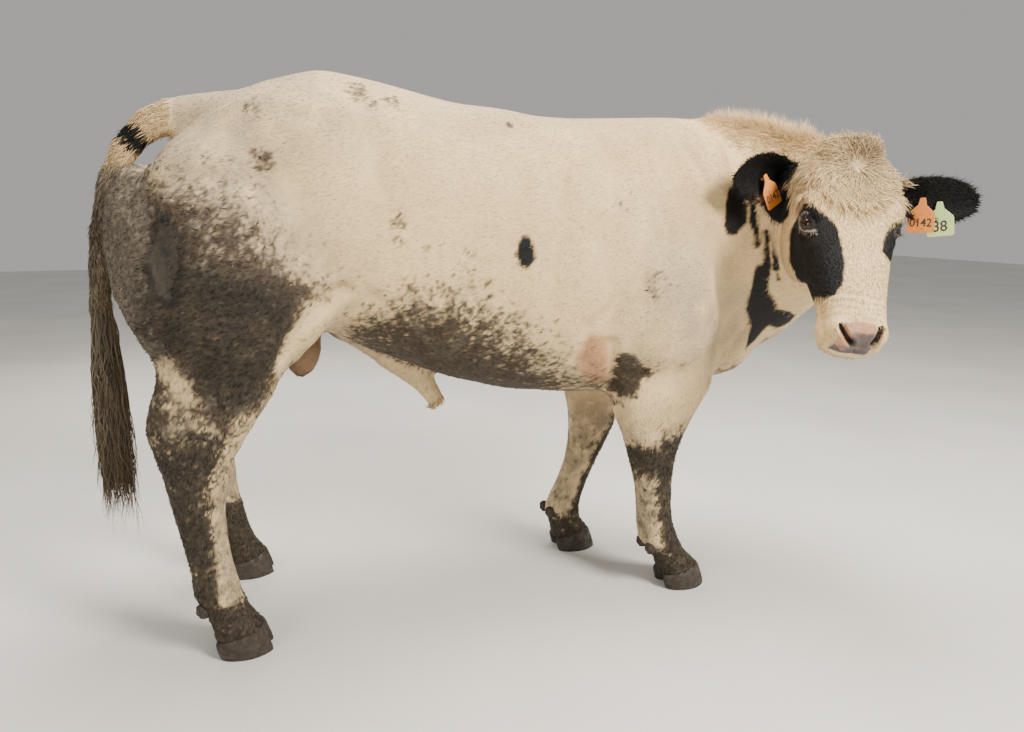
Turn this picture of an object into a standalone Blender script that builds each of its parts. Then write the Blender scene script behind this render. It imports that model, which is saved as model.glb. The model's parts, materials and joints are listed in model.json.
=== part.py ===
"""A life-size young bull of a heavy double-muscled beef breed, standing with its head turned to its right.

Metres, +X forward, +Y to the animal's left, +Z up, with the soles of the claws on Z = 0.
The flesh is lofted sections and muscle ellipsoids fused into one skin, eased, creased between the
muscles, thinned out and parted into named pieces by thin cuts. Long hair is flat tapered locks.
"""

import math
import random
from collections import namedtuple

import bmesh
import bpy
import numpy as np
from mathutils import Matrix, Vector
from mathutils.bvhtree import BVHTree

# Driving dimensions of the whole animal, in metres
WITHERS_HEIGHT = 1.328
CROUP_HEIGHT = 1.412
CHEST_FLOOR = 0.562
FRONT_SHIFT = -0.045  # the forehand stands this far to the right of the hind quarters
GAP = 0.0003  # left between pieces that meet
RIGHT, LEFT = -1, 1
SIDES = {"right": RIGHT, "left": LEFT}

# The head hangs with a steep face, turned to the animal's right and tilted a little
HEAD_YAW = math.radians(-120)
HEAD_PITCH = math.radians(55)
HEAD_ROLL = math.radians(-9.4)
POLL = Vector((0.716, -0.440, 1.226))

# Places in the head's frame: x from the poll to the muzzle, y to the left, z out of the face
EYE = Vector((0.212, 0.097, -0.048))
EYE_RADIUS = 0.0195
EYE_AXIS = Vector((0.02, 0.86, 0.50))
EYE_CORNER_AXIS = Vector((0.55, 0.0, 0.75))
LID_RADIUS = 0.0046
LID_HALF_LENGTH = 0.0205
UPPER_LID_RISE = 0.0115
LOWER_LID_DROP = -0.0095
EYE_FLOOR = 0.008  # how far in front of the eye's centre the skin between the lids is sunk
NOSTRIL = Vector((0.508, 0.039, -0.046))
MOUTH_CORNER_X = 0.405
MOUTH_Z = -0.108

# How finely the flesh is fused, eased and thinned
BODY_VOXEL = 0.010
BODY_EASING = 45
BODY_TRIANGLES = 5000
HEAD_VOXEL = 0.0042
HEAD_EASING = 18
HEAD_TRIANGLES = 3450
RING_POINTS = 32

# Cuts between the pieces: a point on each plane and the way its kept side faces
Plane = namedtuple("Plane", "place normal")
NECK_CUT = Plane((0.535, -0.070, 1.0), (0.951, -0.309, 0.0))
THROAT_CUT = Plane((0.770, -0.268, 1.1), (0.46, -0.86, 0.10))
TAIL_CUT = Plane((-0.862, 0.0, 1.3), (-0.94, 0.0, 0.34))
HIND_LEG_TOP = 0.700
FORE_LEG_TOP = 0.532
HIND_LEG_LIMIT = -0.56  # the hind legs lie behind this
FORE_LEG_LIMIT = 0.05  # the fore legs lie in front of this
BETWEEN_LEGS = -0.2

Section = namedtuple("Section", "x top bottom half_width squareness")
Leg = namedtuple("Leg", "z x y half_depth half_width")
Muscle = namedtuple("Muscle", "place radii turn")
Bend = namedtuple("Bend", "x y z heading half_width rise drop")
Crease = namedtuple("Crease", "path depth width")

# The trunk from the pin bones to the breast
TRUNK = [
    Section(-0.930, 1.165, 1.010, 0.085, 2.0),
    Section(-0.880, 1.245, 0.920, 0.160, 2.1),
    Section(-0.800, 1.318, 0.850, 0.225, 2.2),
    Section(-0.680, 1.376, 0.790, 0.270, 2.3),
    Section(-0.540, CROUP_HEIGHT, 0.755, 0.288, 2.4),
    Section(-0.400, 1.388, 0.690, 0.287, 2.5),
    Section(-0.240, 1.352, 0.620, 0.298, 2.4),
    Section(-0.080, 1.324, 0.578, 0.318, 2.4),
    Section(0.100, 1.314, CHEST_FLOOR, 0.326, 2.4),
    Section(0.270, 1.320, 0.558, 0.300, 2.4),
    Section(0.420, WITHERS_HEIGHT, 0.572, 0.252, 2.3),
    Section(0.540, 1.312, 0.592, 0.206, 2.2),
    Section(0.620, 1.240, 0.620, 0.160, 2.0),
    Section(0.668, 1.120, 0.660, 0.085, 2.0),
]
WIDEST_AT = 0.46  # share of a section's height at which it is widest

# The neck bends from the shoulders round to the back of the head
NECK = [
    Bend(0.200, -0.020, 0.960, 0, 0.265, 0.340, 0.360),
    Bend(0.400, -0.040, 0.970, -8, 0.250, 0.350, 0.365),
    Bend(0.545, -0.075, 0.985, -24, 0.226, 0.342, 0.350),
    Bend(0.654, -0.135, 1.005, -42, 0.190, 0.310, 0.350),
    Bend(0.726, -0.212, 1.035, -62, 0.152, 0.245, 0.312),
    Bend(0.768, -0.295, 1.070, -78, 0.120, 0.175, 0.235),
    Bend(0.770, -0.352, 1.090, -90, 0.070, 0.090, 0.105),
]

# Muscles that stand out on both sides, given for the left side before the front is shifted
MUSCLES = {
    "thigh": Muscle((-0.775, 0.180, 0.945), (0.228, 0.158, 0.300), (0, 6, 0)),
    "buttock": Muscle((-0.930, 0.130, 0.950), (0.106, 0.115, 0.225), (0, -6, 0)),
    "rump": Muscle((-0.600, 0.135, 1.206), (0.245, 0.142, 0.156), (0, -12, 0)),
    "pin": Muscle((-0.800, 0.100, 1.150), (0.130, 0.105, 0.110), (0, -20, 0)),
    "stifle": Muscle((-0.640, 0.222, 0.850), (0.110, 0.080, 0.150), (0, 24, 0)),
    "loin": Muscle((-0.260, 0.115, 1.222), (0.330, 0.110, 0.105), (0, -5, 0)),
    "shoulder": Muscle((0.295, 0.215, 0.840), (0.175, 0.112, 0.215), (0, -18, 0)),
    "blade": Muscle((0.375, 0.155, 1.060), (0.150, 0.118, 0.230), (0, 14, 0)),
    "breast": Muscle((0.550, 0.085, 0.725), (0.118, 0.115, 0.130), (0, 0, 0)),
    "brisket": Muscle((0.380, 0.060, 0.628), (0.200, 0.105, 0.068), (0, 0, 0)),
}
FRONT_MUSCLES = ("shoulder", "blade", "breast", "brisket")

# Furrows between the muscles, as places on the left flank; each is also cut on the right
CREASES = [
    Crease([(-0.44, 0.30, 1.22), (-0.47, 0.32, 1.05), (-0.50, 0.32, 0.90)], 0.012, 0.045),
    Crease([(-0.62, 0.30, 1.12), (-0.80, 0.30, 1.14), (-0.92, 0.20, 1.10)], 0.010, 0.035),
    Crease([(-0.93, 0.28, 1.10), (-0.90, 0.33, 0.90), (-0.92, 0.28, 0.74)], 0.010, 0.032),
    Crease([(0.14, 0.26, 1.20), (0.10, 0.30, 1.00), (0.12, 0.28, 0.78)], 0.012, 0.042),
    Crease([(0.22, 0.24, 0.98), (0.36, 0.24, 0.97), (0.46, 0.20, 1.02)], 0.009, 0.034),
    Crease([(0.52, 0.18, 1.26), (0.53, 0.22, 1.05), (0.46, 0.24, 0.86)], 0.011, 0.036),
    Crease([(0.19, 0.20, 0.70), (0.17, 0.19, 0.60), (0.19, 0.19, 0.54)], 0.012, 0.026),
]

# The sheath runs forward under the belly to a drooping tip
SHEATH = [
    ((-0.530, 0.0, 0.775), 0.036),
    ((-0.440, 0.0, 0.720), 0.040),
    ((-0.350, 0.0, 0.655), 0.040),
    ((-0.290, 0.0, 0.600), 0.034),
    ((-0.252, 0.0, 0.538), 0.025),
]
SCROTUM_TRIANGLES = 280
SCROTUM = {
    "pouch": Muscle((-0.612, 0.030, 0.715), (0.052, 0.042, 0.080), (0, 8, 0)),
    "throat": Muscle((-0.612, 0.012, 0.790), (0.044, 0.038, 0.070), (0, 8, 0)),
}

# Each leg from its root inside the body down into the pastern
HIND_LEG = [
    Leg(0.960, -0.780, 0.190, 0.225, 0.138),
    Leg(0.870, -0.785, 0.198, 0.222, 0.140),
    Leg(0.795, -0.790, 0.204, 0.190, 0.124),
    Leg(0.735, -0.787, 0.208, 0.156, 0.106),
    Leg(0.685, -0.800, 0.210, 0.140, 0.090),
    Leg(0.640, -0.824, 0.212, 0.139, 0.077),
    Leg(0.590, -0.847, 0.214, 0.129, 0.066),
    Leg(0.545, -0.860, 0.215, 0.110, 0.061),
    Leg(0.500, -0.868, 0.216, 0.087, 0.058),
    Leg(0.440, -0.872, 0.217, 0.071, 0.051),
    Leg(0.370, -0.872, 0.217, 0.060, 0.046),
    Leg(0.290, -0.864, 0.217, 0.053, 0.044),
    Leg(0.215, -0.853, 0.217, 0.052, 0.046),
    Leg(0.160, -0.846, 0.217, 0.057, 0.054),
    Leg(0.110, -0.826, 0.217, 0.053, 0.053),
    Leg(0.070, -0.806, 0.217, 0.060, 0.058),
    Leg(0.035, -0.800, 0.217, 0.062, 0.058),
    Leg(0.010, -0.800, 0.217, 0.062, 0.058),
]
FORE_LEG_RIGHT = [
    Leg(0.760, 0.330, 0.190, 0.160, 0.098),
    Leg(0.660, 0.335, 0.198, 0.166, 0.098),
    Leg(0.585, 0.335, 0.200, 0.156, 0.092),
    Leg(0.518, 0.322, 0.202, 0.122, 0.080),
    Leg(0.451, 0.318, 0.204, 0.090, 0.066),
    Leg(0.405, 0.316, 0.205, 0.074, 0.060),
    Leg(0.360, 0.318, 0.206, 0.063, 0.057),
    Leg(0.310, 0.322, 0.208, 0.055, 0.049),
    Leg(0.250, 0.325, 0.210, 0.053, 0.045),
    Leg(0.190, 0.330, 0.212, 0.055, 0.048),
    Leg(0.145, 0.342, 0.214, 0.059, 0.054),
    Leg(0.105, 0.370, 0.215, 0.053, 0.052),
    Leg(0.070, 0.398, 0.216, 0.060, 0.058),
    Leg(0.035, 0.406, 0.216, 0.062, 0.058),
    Leg(0.010, 0.406, 0.216, 0.062, 0.058),
]
FORE_LEG_LEFT = [
    Leg(0.760, 0.330, 0.180, 0.160, 0.098),
    Leg(0.660, 0.325, 0.175, 0.160, 0.098),
    Leg(0.585, 0.312, 0.168, 0.140, 0.088),
    Leg(0.518, 0.298, 0.160, 0.112, 0.076),
    Leg(0.451, 0.288, 0.152, 0.088, 0.064),
    Leg(0.395, 0.280, 0.146, 0.078, 0.060),
    Leg(0.340, 0.262, 0.140, 0.064, 0.057),
    Leg(0.285, 0.240, 0.134, 0.055, 0.049),
    Leg(0.230, 0.214, 0.128, 0.052, 0.045),
    Leg(0.175, 0.186, 0.122, 0.054, 0.048),
    Leg(0.135, 0.170, 0.118, 0.058, 0.054),
    Leg(0.100, 0.176, 0.115, 0.053, 0.052),
    Leg(0.066, 0.192, 0.112, 0.060, 0.058),
    Leg(0.035, 0.198, 0.112, 0.062, 0.058),
    Leg(0.010, 0.198, 0.112, 0.062, 0.058),
]
LEGS = {
    "hind_right": (HIND_LEG, RIGHT),
    "hind_left": (HIND_LEG, LEFT),
    "fore_right": (FORE_LEG_RIGHT, RIGHT),
    "fore_left": (FORE_LEG_LEFT, LEFT),
}

# The claws, measured from the middle of the foot
CORONET_HEIGHT = 0.056
CORONET_SLOPE = 0.24  # the coronet rises towards the toe
CLAW_HALF_LENGTH = 0.062
CLAW_HALF_WIDTH = 0.0285
CLAW_CLEFT = 0.0045  # half the cleft between the two claws
CLAW_POINTS = 12
# From the sole up to the coronet: height, share of the claw's length, how far it leans forward
CLAW_RINGS = [(0.0, 1.0, 0.010), (0.016, 0.99, 0.007), (0.032, 0.965, 0.003), (None, 0.93, -0.002)]
DEWCLAW_HEIGHT = 0.128
DEWCLAW_RADII = (0.016, 0.014, 0.020)

# The head's sections from behind the poll to the end of the muzzle
HeadSection = namedtuple("HeadSection", "x half_width top bottom jaw_share")
HEAD = [
    HeadSection(-0.024, 0.060, -0.050, -0.150, 0.9),
    HeadSection(-0.010, 0.090, -0.028, -0.190, 0.9),
    HeadSection(0.016, 0.110, -0.008, -0.222, 0.90),
    HeadSection(0.066, 0.122, 0.004, -0.240, 0.92),
    HeadSection(0.120, 0.123, 0.007, -0.250, 0.92),
    HeadSection(0.180, 0.119, 0.005, -0.250, 0.90),
    HeadSection(0.240, 0.108, 0.000, -0.238, 0.88),
    HeadSection(0.300, 0.093, -0.002, -0.218, 0.86),
    HeadSection(0.360, 0.081, -0.002, -0.192, 0.88),
    HeadSection(0.420, 0.072, -0.003, -0.170, 0.92),
    HeadSection(0.470, 0.070, -0.006, -0.155, 0.92),
    HeadSection(0.502, 0.066, -0.014, -0.139, 0.90),
    HeadSection(0.522, 0.057, -0.030, -0.122, 0.86),
    HeadSection(0.533, 0.034, -0.048, -0.100, 0.84),
]
HEAD_SQUARENESS = 2.5
HEAD_WIDEST_AT = 0.70
HEAD_MUSCLES = {
    "cheek": Muscle((0.165, 0.070, -0.155), (0.130, 0.060, 0.098), (0, 22, 0)),
    "brow": Muscle((0.174, 0.092, -0.028), (0.050, 0.030, 0.028), (0, 0, -14)),
    "cheekbone": Muscle((0.255, 0.078, -0.078), (0.100, 0.026, 0.034), (0, 4, -16)),
    "nostril_wing": Muscle((0.494, 0.045, -0.046), (0.036, 0.027, 0.034), (0, 20, -8)),
    "upper_lip": Muscle((0.474, 0.045, -0.086), (0.054, 0.034, 0.026), (0, 0, 4)),
    "poll_knob": Muscle((0.004, 0.018, -0.020), (0.046, 0.060, 0.032), (0, 0, 0)),
    "lower_lip": Muscle((0.484, 0.026, -0.130), (0.036, 0.038, 0.019), (0, 0, 0)),
    "ear_root": Muscle((0.040, 0.100, -0.092), (0.042, 0.036, 0.040), (0, 0, 0)),
}

# An ear from root to tip: share of its length, half width, depth of the cup
EAR_PLACES = {
    "right": Vector((0.022, -0.116, -0.112)),
    "left": Vector((0.069, 0.123, -0.088)),
}
EAR_LENGTH = 0.230
EAR_THICKNESS = 0.0070
EAR_ARC_POINTS = 5
EarStation = namedtuple("EarStation", "share half_width cup")
EAR = [
    EarStation(0.00, 0.026, 0.030),
    EarStation(0.14, 0.040, 0.036),
    EarStation(0.30, 0.053, 0.036),
    EarStation(0.48, 0.060, 0.031),
    EarStation(0.66, 0.059, 0.024),
    EarStation(0.82, 0.049, 0.016),
    EarStation(0.93, 0.030, 0.009),
    EarStation(1.00, 0.010, 0.004),
]
# The way each ear points, and the way its cup opens
EAR_POSES = {
    "right": (Vector((-0.935, -0.270, -0.040)), Vector((0.0, -0.93, -0.30))),
    "left": (Vector((0.920, -0.320, -0.130)), Vector((-0.42, -0.84, -0.34))),
}

# The tail from its root over the pin bones down to the end of the switch
TAIL = [
    ((-0.700, 0.0, 1.330), 0.034),
    ((-0.790, 0.0, 1.318), 0.041),
    ((-0.862, 0.0, 1.302), 0.041),
    ((-0.930, 0.0, 1.270), 0.039),
    ((-0.985, 0.0, 1.213), 0.036),
    ((-1.030, 0.0, 1.125), 0.030),
    ((-1.056, 0.0, 1.035), 0.026),
    ((-1.071, 0.0, 0.945), 0.025),
    ((-1.079, 0.0, 0.850), 0.025),
    ((-1.079, 0.0, 0.760), 0.024),
]
SWITCH = [
    ((-1.079, 0.0, 0.785), 0.026),
    ((-1.081, 0.0, 0.700), 0.027),
    ((-1.085, 0.0, 0.600), 0.026),
    ((-1.091, 0.0, 0.500), 0.021),
    ((-1.097, 0.0, 0.410), 0.012),
]
SWITCH_TOP = 0.770
SWITCH_ROOTS = (0.750, 0.415)  # heights between which its locks are rooted
SWITCH_LEAN = 0.018  # how far back the switch hangs at its end
SWITCH_LOCKS = 34

# Locks of the poll, the brow and the crest
HEAD_LOCKS = 56
CREST_LOCKS = 42
LOCK_SEED = 20
POLL_SHORTENING = 0.008  # the poll's locks are this much shorter than the brow's
POLL_RISE = 0.004  # and stand this much further off the skin
CREST_START = 0.08  # of the way from one neck section to the next
CREST_STANDING = 1.0  # how much the crest's locks point up against how much they lean back
CREST_REAR_STANDING = 1.0  # added for the rearmost, which stand clear of the withers
WHORL = Vector((0.062, 0.004))  # in the head's frame, seen from the front
GOLDEN = 0.618034  # spreads the roots evenly
LOCK_SINK = 0.009  # how deep a lock is rooted
LOCK_ROOT_FULLNESS = 0.8
LOCK_FLATNESS = 0.40  # a lock's thickness as a share of its width
# A lock from above its root to its tip: shares of its length, its rise, its curl and its width
LockRing = namedtuple("LockRing", "along rise curl fullness")
LOCK_RINGS = [
    LockRing(0.30, 0.80, 0.40, 1.00),
    LockRing(0.70, 1.05, 1.00, 0.68),
    LockRing(1.00, 0.75, 0.70, 0.00),
]

COAT_COLOUR = (0.72, 0.66, 0.56)
SHARP_ANGLE = math.radians(50)
HORN_COLOUR = (0.05, 0.04, 0.035)

# Ear tags: a panel on a neck, pinned through the ear by a button
Tag = namedtuple("Tag", "ear along aside stand out hang colour")
TAG_ORANGE = (0.80, 0.33, 0.06)
TAG_GREEN = (0.62, 0.75, 0.42)
TAGS = {
    "tag_orange_right": Tag(
        "right", 0.092, -0.012, 0.010, (0.30, -0.94, 0.12), (0.52, -0.25, -0.82), TAG_ORANGE
    ),
    "tag_orange_left": Tag("left", 0.088, 0.016, 0.018, (-0.70, -0.71, 0.0), (0.0, 0.0, -1.0), TAG_ORANGE),
    "tag_green_left": Tag("left", 0.130, 0.018, 0.010, (-0.68, -0.73, 0.0), (0.08, -0.08, -1.0), TAG_GREEN),
}
TAG_PANEL = (0.062, 0.052)
TAG_THICKNESS = 0.0022
TAG_NECK_LENGTH = 0.026
BUTTON_RADIUS = 0.0135
BUTTON_LEVELS = (-0.0140, -0.0105)  # behind the ear's inner face
STUD_RADIUS = 0.0034


def remove_everything():
    for obj in list(bpy.data.objects):
        bpy.data.objects.remove(obj, do_unlink=True)


def finished(made):
    mesh = bpy.data.meshes.new("shape")
    made.to_mesh(mesh)
    made.free()
    return mesh


def power_curve(value, squareness):
    return math.copysign(abs(value) ** (2 / squareness), value)


def closed_loft(rings):
    """One closed mesh through rings of equally many points, each a list of vectors."""
    made = bmesh.new()
    loops = [[made.verts.new(point) for point in ring] for ring in rings]
    for lower, upper in zip(loops, loops[1:]):
        for i, corner in enumerate(lower):
            after = (i + 1) % len(lower)
            made.faces.new((corner, lower[after], upper[after], upper[i]))
    made.faces.new(list(reversed(loops[0])))
    made.faces.new(loops[-1])
    bmesh.ops.recalc_face_normals(made, faces=made.faces)
    return finished(made)


def tube(stations, sides=12, flatness=1.0):
    """A closed tube along places in a vertical plane, each with its own radius."""
    places = [Vector(place) for place, _ in stations]
    rings = []
    for i, (_, radius) in enumerate(stations):
        along = places[min(i + 1, len(places) - 1)] - places[max(i - 1, 0)]
        across = Vector((0, 1, 0))
        raised = across.cross(along).normalized()
        rings.append([
            places[i]
            + across * (radius * flatness * math.cos(2 * math.pi * k / sides))
            + raised * (radius * math.sin(2 * math.pi * k / sides))
            for k in range(sides)
        ])
    return closed_loft(rings)


def ellipsoid(muscle, detail=3):
    made = bmesh.new()
    roll, pitch, yaw = (math.radians(angle) for angle in muscle.turn)
    turn = Matrix.Rotation(yaw, 4, "Z") @ Matrix.Rotation(pitch, 4, "Y") @ Matrix.Rotation(roll, 4, "X")
    matrix = Matrix.Translation(muscle.place) @ turn @ Matrix.Diagonal((*muscle.radii, 1))
    bmesh.ops.create_icosphere(made, subdivisions=detail, radius=1, matrix=matrix)
    return finished(made)


def mirrored(muscle, side, shift=0.0):
    """The same muscle on one side of the body, moved sideways by shift."""
    x, y, z = muscle.place
    roll, pitch, yaw = muscle.turn
    return Muscle((x, side * y + shift, z), muscle.radii, (side * roll, pitch, side * yaw))


def sided(vector, side):
    return Vector((vector[0], side * vector[1], vector[2]))


def front_shift(x):
    """How far the midline lies to the side at x: none behind the ribs, all of it at the shoulder."""
    share = min(max((x + 0.1) / 0.4, 0.0), 1.0)
    return FRONT_SHIFT * share * share * (3 - 2 * share)


def trunk():
    rings = []
    for s in TRUNK:
        middle = s.bottom + WIDEST_AT * (s.top - s.bottom)
        ring = []
        for i in range(RING_POINTS):
            angle = 2 * math.pi * i / RING_POINTS
            across = power_curve(math.cos(angle), s.squareness)
            height = power_curve(math.sin(angle), s.squareness)
            reach = s.top - middle if height > 0 else middle - s.bottom
            y = front_shift(s.x) + s.half_width * across
            ring.append(Vector((s.x, y, middle + reach * height)))
        rings.append(ring)
    return closed_loft(rings)


def neck():
    """The neck's rings are narrower at the crest and the throat than half way up."""
    rings = []
    for b in NECK:
        heading = math.radians(b.heading)
        side = Vector((-math.sin(heading), math.cos(heading), 0))
        ring = []
        for i in range(RING_POINTS):
            angle = 2 * math.pi * i / RING_POINTS
            height = math.sin(angle)
            reach = b.rise if height > 0 else b.drop
            across = math.cos(angle) * (1 - 0.12 * height * height)
            ring.append(Vector((b.x, b.y, b.z + reach * height)) + side * (b.half_width * across))
        rings.append(ring)
    return closed_loft(rings)


def leg(stations, side):
    rings = []
    for s in stations:
        ring = []
        for i in range(RING_POINTS // 2):
            angle = 4 * math.pi * i / RING_POINTS
            along = s.half_depth * power_curve(math.cos(angle), 2.2)
            across = s.half_width * power_curve(math.sin(angle), 2.2)
            ring.append(Vector((s.x + along, side * s.y + across, s.z)))
        rings.append(ring)
    return closed_loft(rings)


def head_matrix():
    turn = Matrix.Rotation(HEAD_YAW, 4, "Z") @ Matrix.Rotation(HEAD_PITCH, 4, "Y")
    return Matrix.Translation(POLL) @ turn @ Matrix.Rotation(HEAD_ROLL, 4, "X")


def skull():
    rings = []
    for s in HEAD:
        middle = s.bottom + HEAD_WIDEST_AT * (s.top - s.bottom)
        ring = []
        for i in range(RING_POINTS):
            angle = 2 * math.pi * i / RING_POINTS
            across = power_curve(math.cos(angle), HEAD_SQUARENESS)
            height = power_curve(math.sin(angle), HEAD_SQUARENESS)
            reach = s.top - middle if height > 0 else middle - s.bottom
            width = s.half_width * (1 + min(height, 0) * (1 - s.jaw_share))
            ring.append(Vector((s.x, width * across, middle + reach * height)))
        rings.append(ring)
    return closed_loft(rings)


def eye_axes(side):
    """The way an eye looks, the way its corners lie and the way its upper lid rises."""
    axis = sided(EYE_AXIS, side).normalized()
    corners = EYE_CORNER_AXIS - axis * EYE_CORNER_AXIS.dot(axis)
    corners.normalize()
    rise = axis.cross(corners) * side
    if rise.x > 0:
        rise.negate()
    return axis, corners, rise


def lid(side, rise, sides=8, steps=9):
    """One eyelid: a rounded rim that arches over the eyeball from corner to corner."""
    axis, corners, up = eye_axes(side)
    centre = sided(EYE, side)
    reach = EYE_RADIUS + 0.002
    rings = []
    for k in range(steps):
        turn = math.pi * k / (steps - 1)
        along = LID_HALF_LENGTH * math.cos(turn)
        over = rise * math.sin(turn)
        out = math.sqrt(max(reach * reach - along * along - over * over, 0))
        middle = centre + corners * along + up * over + axis * out
        outward = (middle - centre).normalized()
        tangent = up * math.cos(turn) * rise - corners * math.sin(turn) * LID_HALF_LENGTH
        tangent.normalize()
        raised = tangent.cross(outward)
        radius = LID_RADIUS * (0.6 + 0.4 * math.sin(turn))
        rings.append([
            middle
            + outward * (radius * math.cos(2 * math.pi * j / sides))
            + raised * (radius * math.sin(2 * math.pi * j / sides))
            for j in range(sides)
        ])
    return closed_loft(rings)


def head_shapes():
    """Every solid that makes up the head, in the head's own frame."""
    shapes = [skull()]
    for side in SIDES.values():
        shapes += [ellipsoid(mirrored(muscle, side)) for muscle in HEAD_MUSCLES.values()]
        shapes += [lid(side, UPPER_LID_RISE), lid(side, LOWER_LID_DROP)]
    return shapes


def body_shapes():
    """Every solid that makes up the trunk, neck and legs, in place."""
    shapes = [trunk(), neck(), tube(TAIL[:4]), tube(SHEATH)]
    for name, muscle in MUSCLES.items():
        shift = FRONT_SHIFT if name in FRONT_MUSCLES else 0.0
        shapes += [ellipsoid(mirrored(muscle, side, shift)) for side in SIDES.values()]
    shapes += [leg(stations, side) for stations, side in LEGS.values()]
    return shapes


def moved(meshes, matrix):
    for mesh in meshes:
        mesh.transform(matrix)
    return meshes


def joined(meshes):
    made = bmesh.new()
    for mesh in meshes:
        made.from_mesh(mesh)
    return finished(made)


def with_modifier(mesh, kind, weights=None, **settings):
    """The mesh that one modifier gives, as plain data."""
    holder = bpy.data.objects.new("holder", mesh)
    bpy.context.scene.collection.objects.link(holder)
    if weights:
        group = holder.vertex_groups.new(name="coarse")
        for i, weight in enumerate(weights(corners_of(mesh))):
            group.add([i], float(weight), "REPLACE")
    modifier = holder.modifiers.new("step", kind)
    for name, value in settings.items():
        setattr(modifier, name, value)
    graph = bpy.context.evaluated_depsgraph_get()
    result = bpy.data.meshes.new_from_object(holder.evaluated_get(graph))
    bpy.data.objects.remove(holder, do_unlink=True)
    return result


def corners_of(mesh):
    points = np.empty(3 * len(mesh.vertices))
    mesh.vertices.foreach_get("co", points)
    return points.reshape(-1, 3)


def put_corners(mesh, points):
    mesh.vertices.foreach_set("co", points.ravel())
    mesh.update()


def normals_of(mesh):
    normals = np.empty(3 * len(mesh.vertices))
    mesh.vertex_normals.foreach_get("vector", normals)
    return normals.reshape(-1, 3)


def ease(mesh, rounds, share):
    """Evens the skin out; share says how strongly at each corner, from 0 to 1."""
    points = corners_of(mesh)
    edges = np.empty(2 * len(mesh.edges), dtype=np.int64)
    mesh.edges.foreach_get("vertices", edges)
    first, second = edges.reshape(-1, 2).T
    count = np.bincount(edges, minlength=len(points))[:, None]
    strength = 0.5 * share(points)[:, None]
    for _ in range(rounds):
        total = np.stack([
            np.bincount(first, points[second, axis], len(points))
            + np.bincount(second, points[first, axis], len(points))
            for axis in range(3)
        ], axis=1)
        points = points + strength * (total / count - points)
    put_corners(mesh, points)


def from_line(points, path):
    """The distance of each point from a line through the places of path."""
    nearest = np.full(len(points), np.inf)
    for start, end in zip(np.array(path[:-1]), np.array(path[1:])):
        span = end - start
        along = np.clip((points - start) @ span / (span @ span), 0, 1)
        gaps = np.linalg.norm(points - start - along[:, None] * span, axis=1)
        nearest = np.minimum(nearest, gaps)
    return nearest


def furrow(mesh):
    """Sinks the skin along the creases between the muscles, on both sides."""
    points = corners_of(mesh)
    normals = normals_of(mesh)
    depth = np.zeros(len(points))
    for crease in CREASES:
        for side in SIDES.values():
            path = [(x, side * y + front_shift(x), z) for x, y, z in crease.path]
            closeness = from_line(points, path) / crease.width
            depth += crease.depth * np.exp(-closeness * closeness)
    put_corners(mesh, points - normals * depth[:, None])


def body_share(points):
    """The trunk is eased fully, the slender legs and the tail root hardly at all."""
    height = np.clip((points[:, 2] - 0.50) / 0.25, 0.06, 1)
    tail = np.clip((points[:, 0] + 0.92) / 0.10, 0.1, 1)
    return np.where(points[:, 2] > 1.15, np.minimum(height, tail), height)


def body_flesh():
    head = moved(head_shapes(), head_matrix())
    fused = with_modifier(joined(body_shapes() + head), "REMESH", mode="VOXEL", voxel_size=BODY_VOXEL)
    ease(fused, BODY_EASING, body_share)
    furrow(fused)
    ease(fused, 4, lambda points: np.full(len(points), 0.5))
    return thinned(fused, BODY_TRIANGLES)


def thinned(mesh, triangles, coarseness=None):
    """The mesh with fewer triangles; coarseness says where they may be lost, from 0 to 1."""
    ratio = min(1.0, triangles / (len(mesh.loops) - 2 * len(mesh.polygons)))
    settings = {"ratio": ratio, "use_collapse_triangulate": True}
    if coarseness:
        settings.update(vertex_group="coarse", vertex_group_factor=1.0)
    return with_modifier(mesh, "DECIMATE", coarseness, **settings)


def bump(distance, width):
    return np.exp(-np.square(distance / width))


def shape_face(mesh):
    """Opens the eyes and nostrils and draws the mouth, in the head's frame."""
    points = corners_of(mesh)
    normals = normals_of(mesh)
    x, y, z = points.T
    shift = np.zeros(len(points))
    # The line of the mouth between the full lips
    drop = z - (MOUTH_Z + 0.10 * np.clip(MOUTH_CORNER_X + 0.06 - x, 0, 1))
    front = np.clip((x - MOUTH_CORNER_X) / 0.02, 0, 1)
    shift += front * (0.0026 * bump(np.abs(drop) - 0.012, 0.007) - 0.0075 * bump(drop, 0.0045))
    # The bare nose between the nostrils is flat and a little hollow
    shift -= 0.003 * bump(y, 0.016) * bump(x - 0.53, 0.03) * bump(z + 0.045, 0.03)
    points = points + normals * shift[:, None]
    for side in SIDES.values():
        # Each nostril is a comma: a round hollow with a slit that curls outwards
        hole = np.array(sided(NOSTRIL, side))
        away = points - hole
        slit = from_line(points, [hole, hole + np.array((-0.016, side * 0.013, 0.004))])
        into = np.array((-0.55, side * 0.12, -0.82))
        hollow = np.maximum(bump(np.linalg.norm(away, axis=1), 0.0095), bump(slit, 0.0065))
        points = points + 0.019 * hollow[:, None] * into
        points = open_eye(points, side)
    put_corners(mesh, points)


def open_eye(points, side):
    """Sinks the skin between the lids, so that the eyeball shows there."""
    axis, corners, rise = (np.array(v) for v in eye_axes(side))
    away = points - np.array(sided(EYE, side))
    out, along, over = away @ axis, away @ corners, away @ rise
    lift = np.where(over > 0, UPPER_LID_RISE, -LOWER_LID_DROP) - LID_RADIUS * 0.5
    inside = np.square(along / (LID_HALF_LENGTH - LID_RADIUS * 0.5)) + np.square(over / lift)
    open_here = (inside < 1) & (out > 0)
    sunk = np.where(open_here, np.minimum(out, EYE_FLOOR) - out, 0)
    return points + sunk[:, None] * axis


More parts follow.
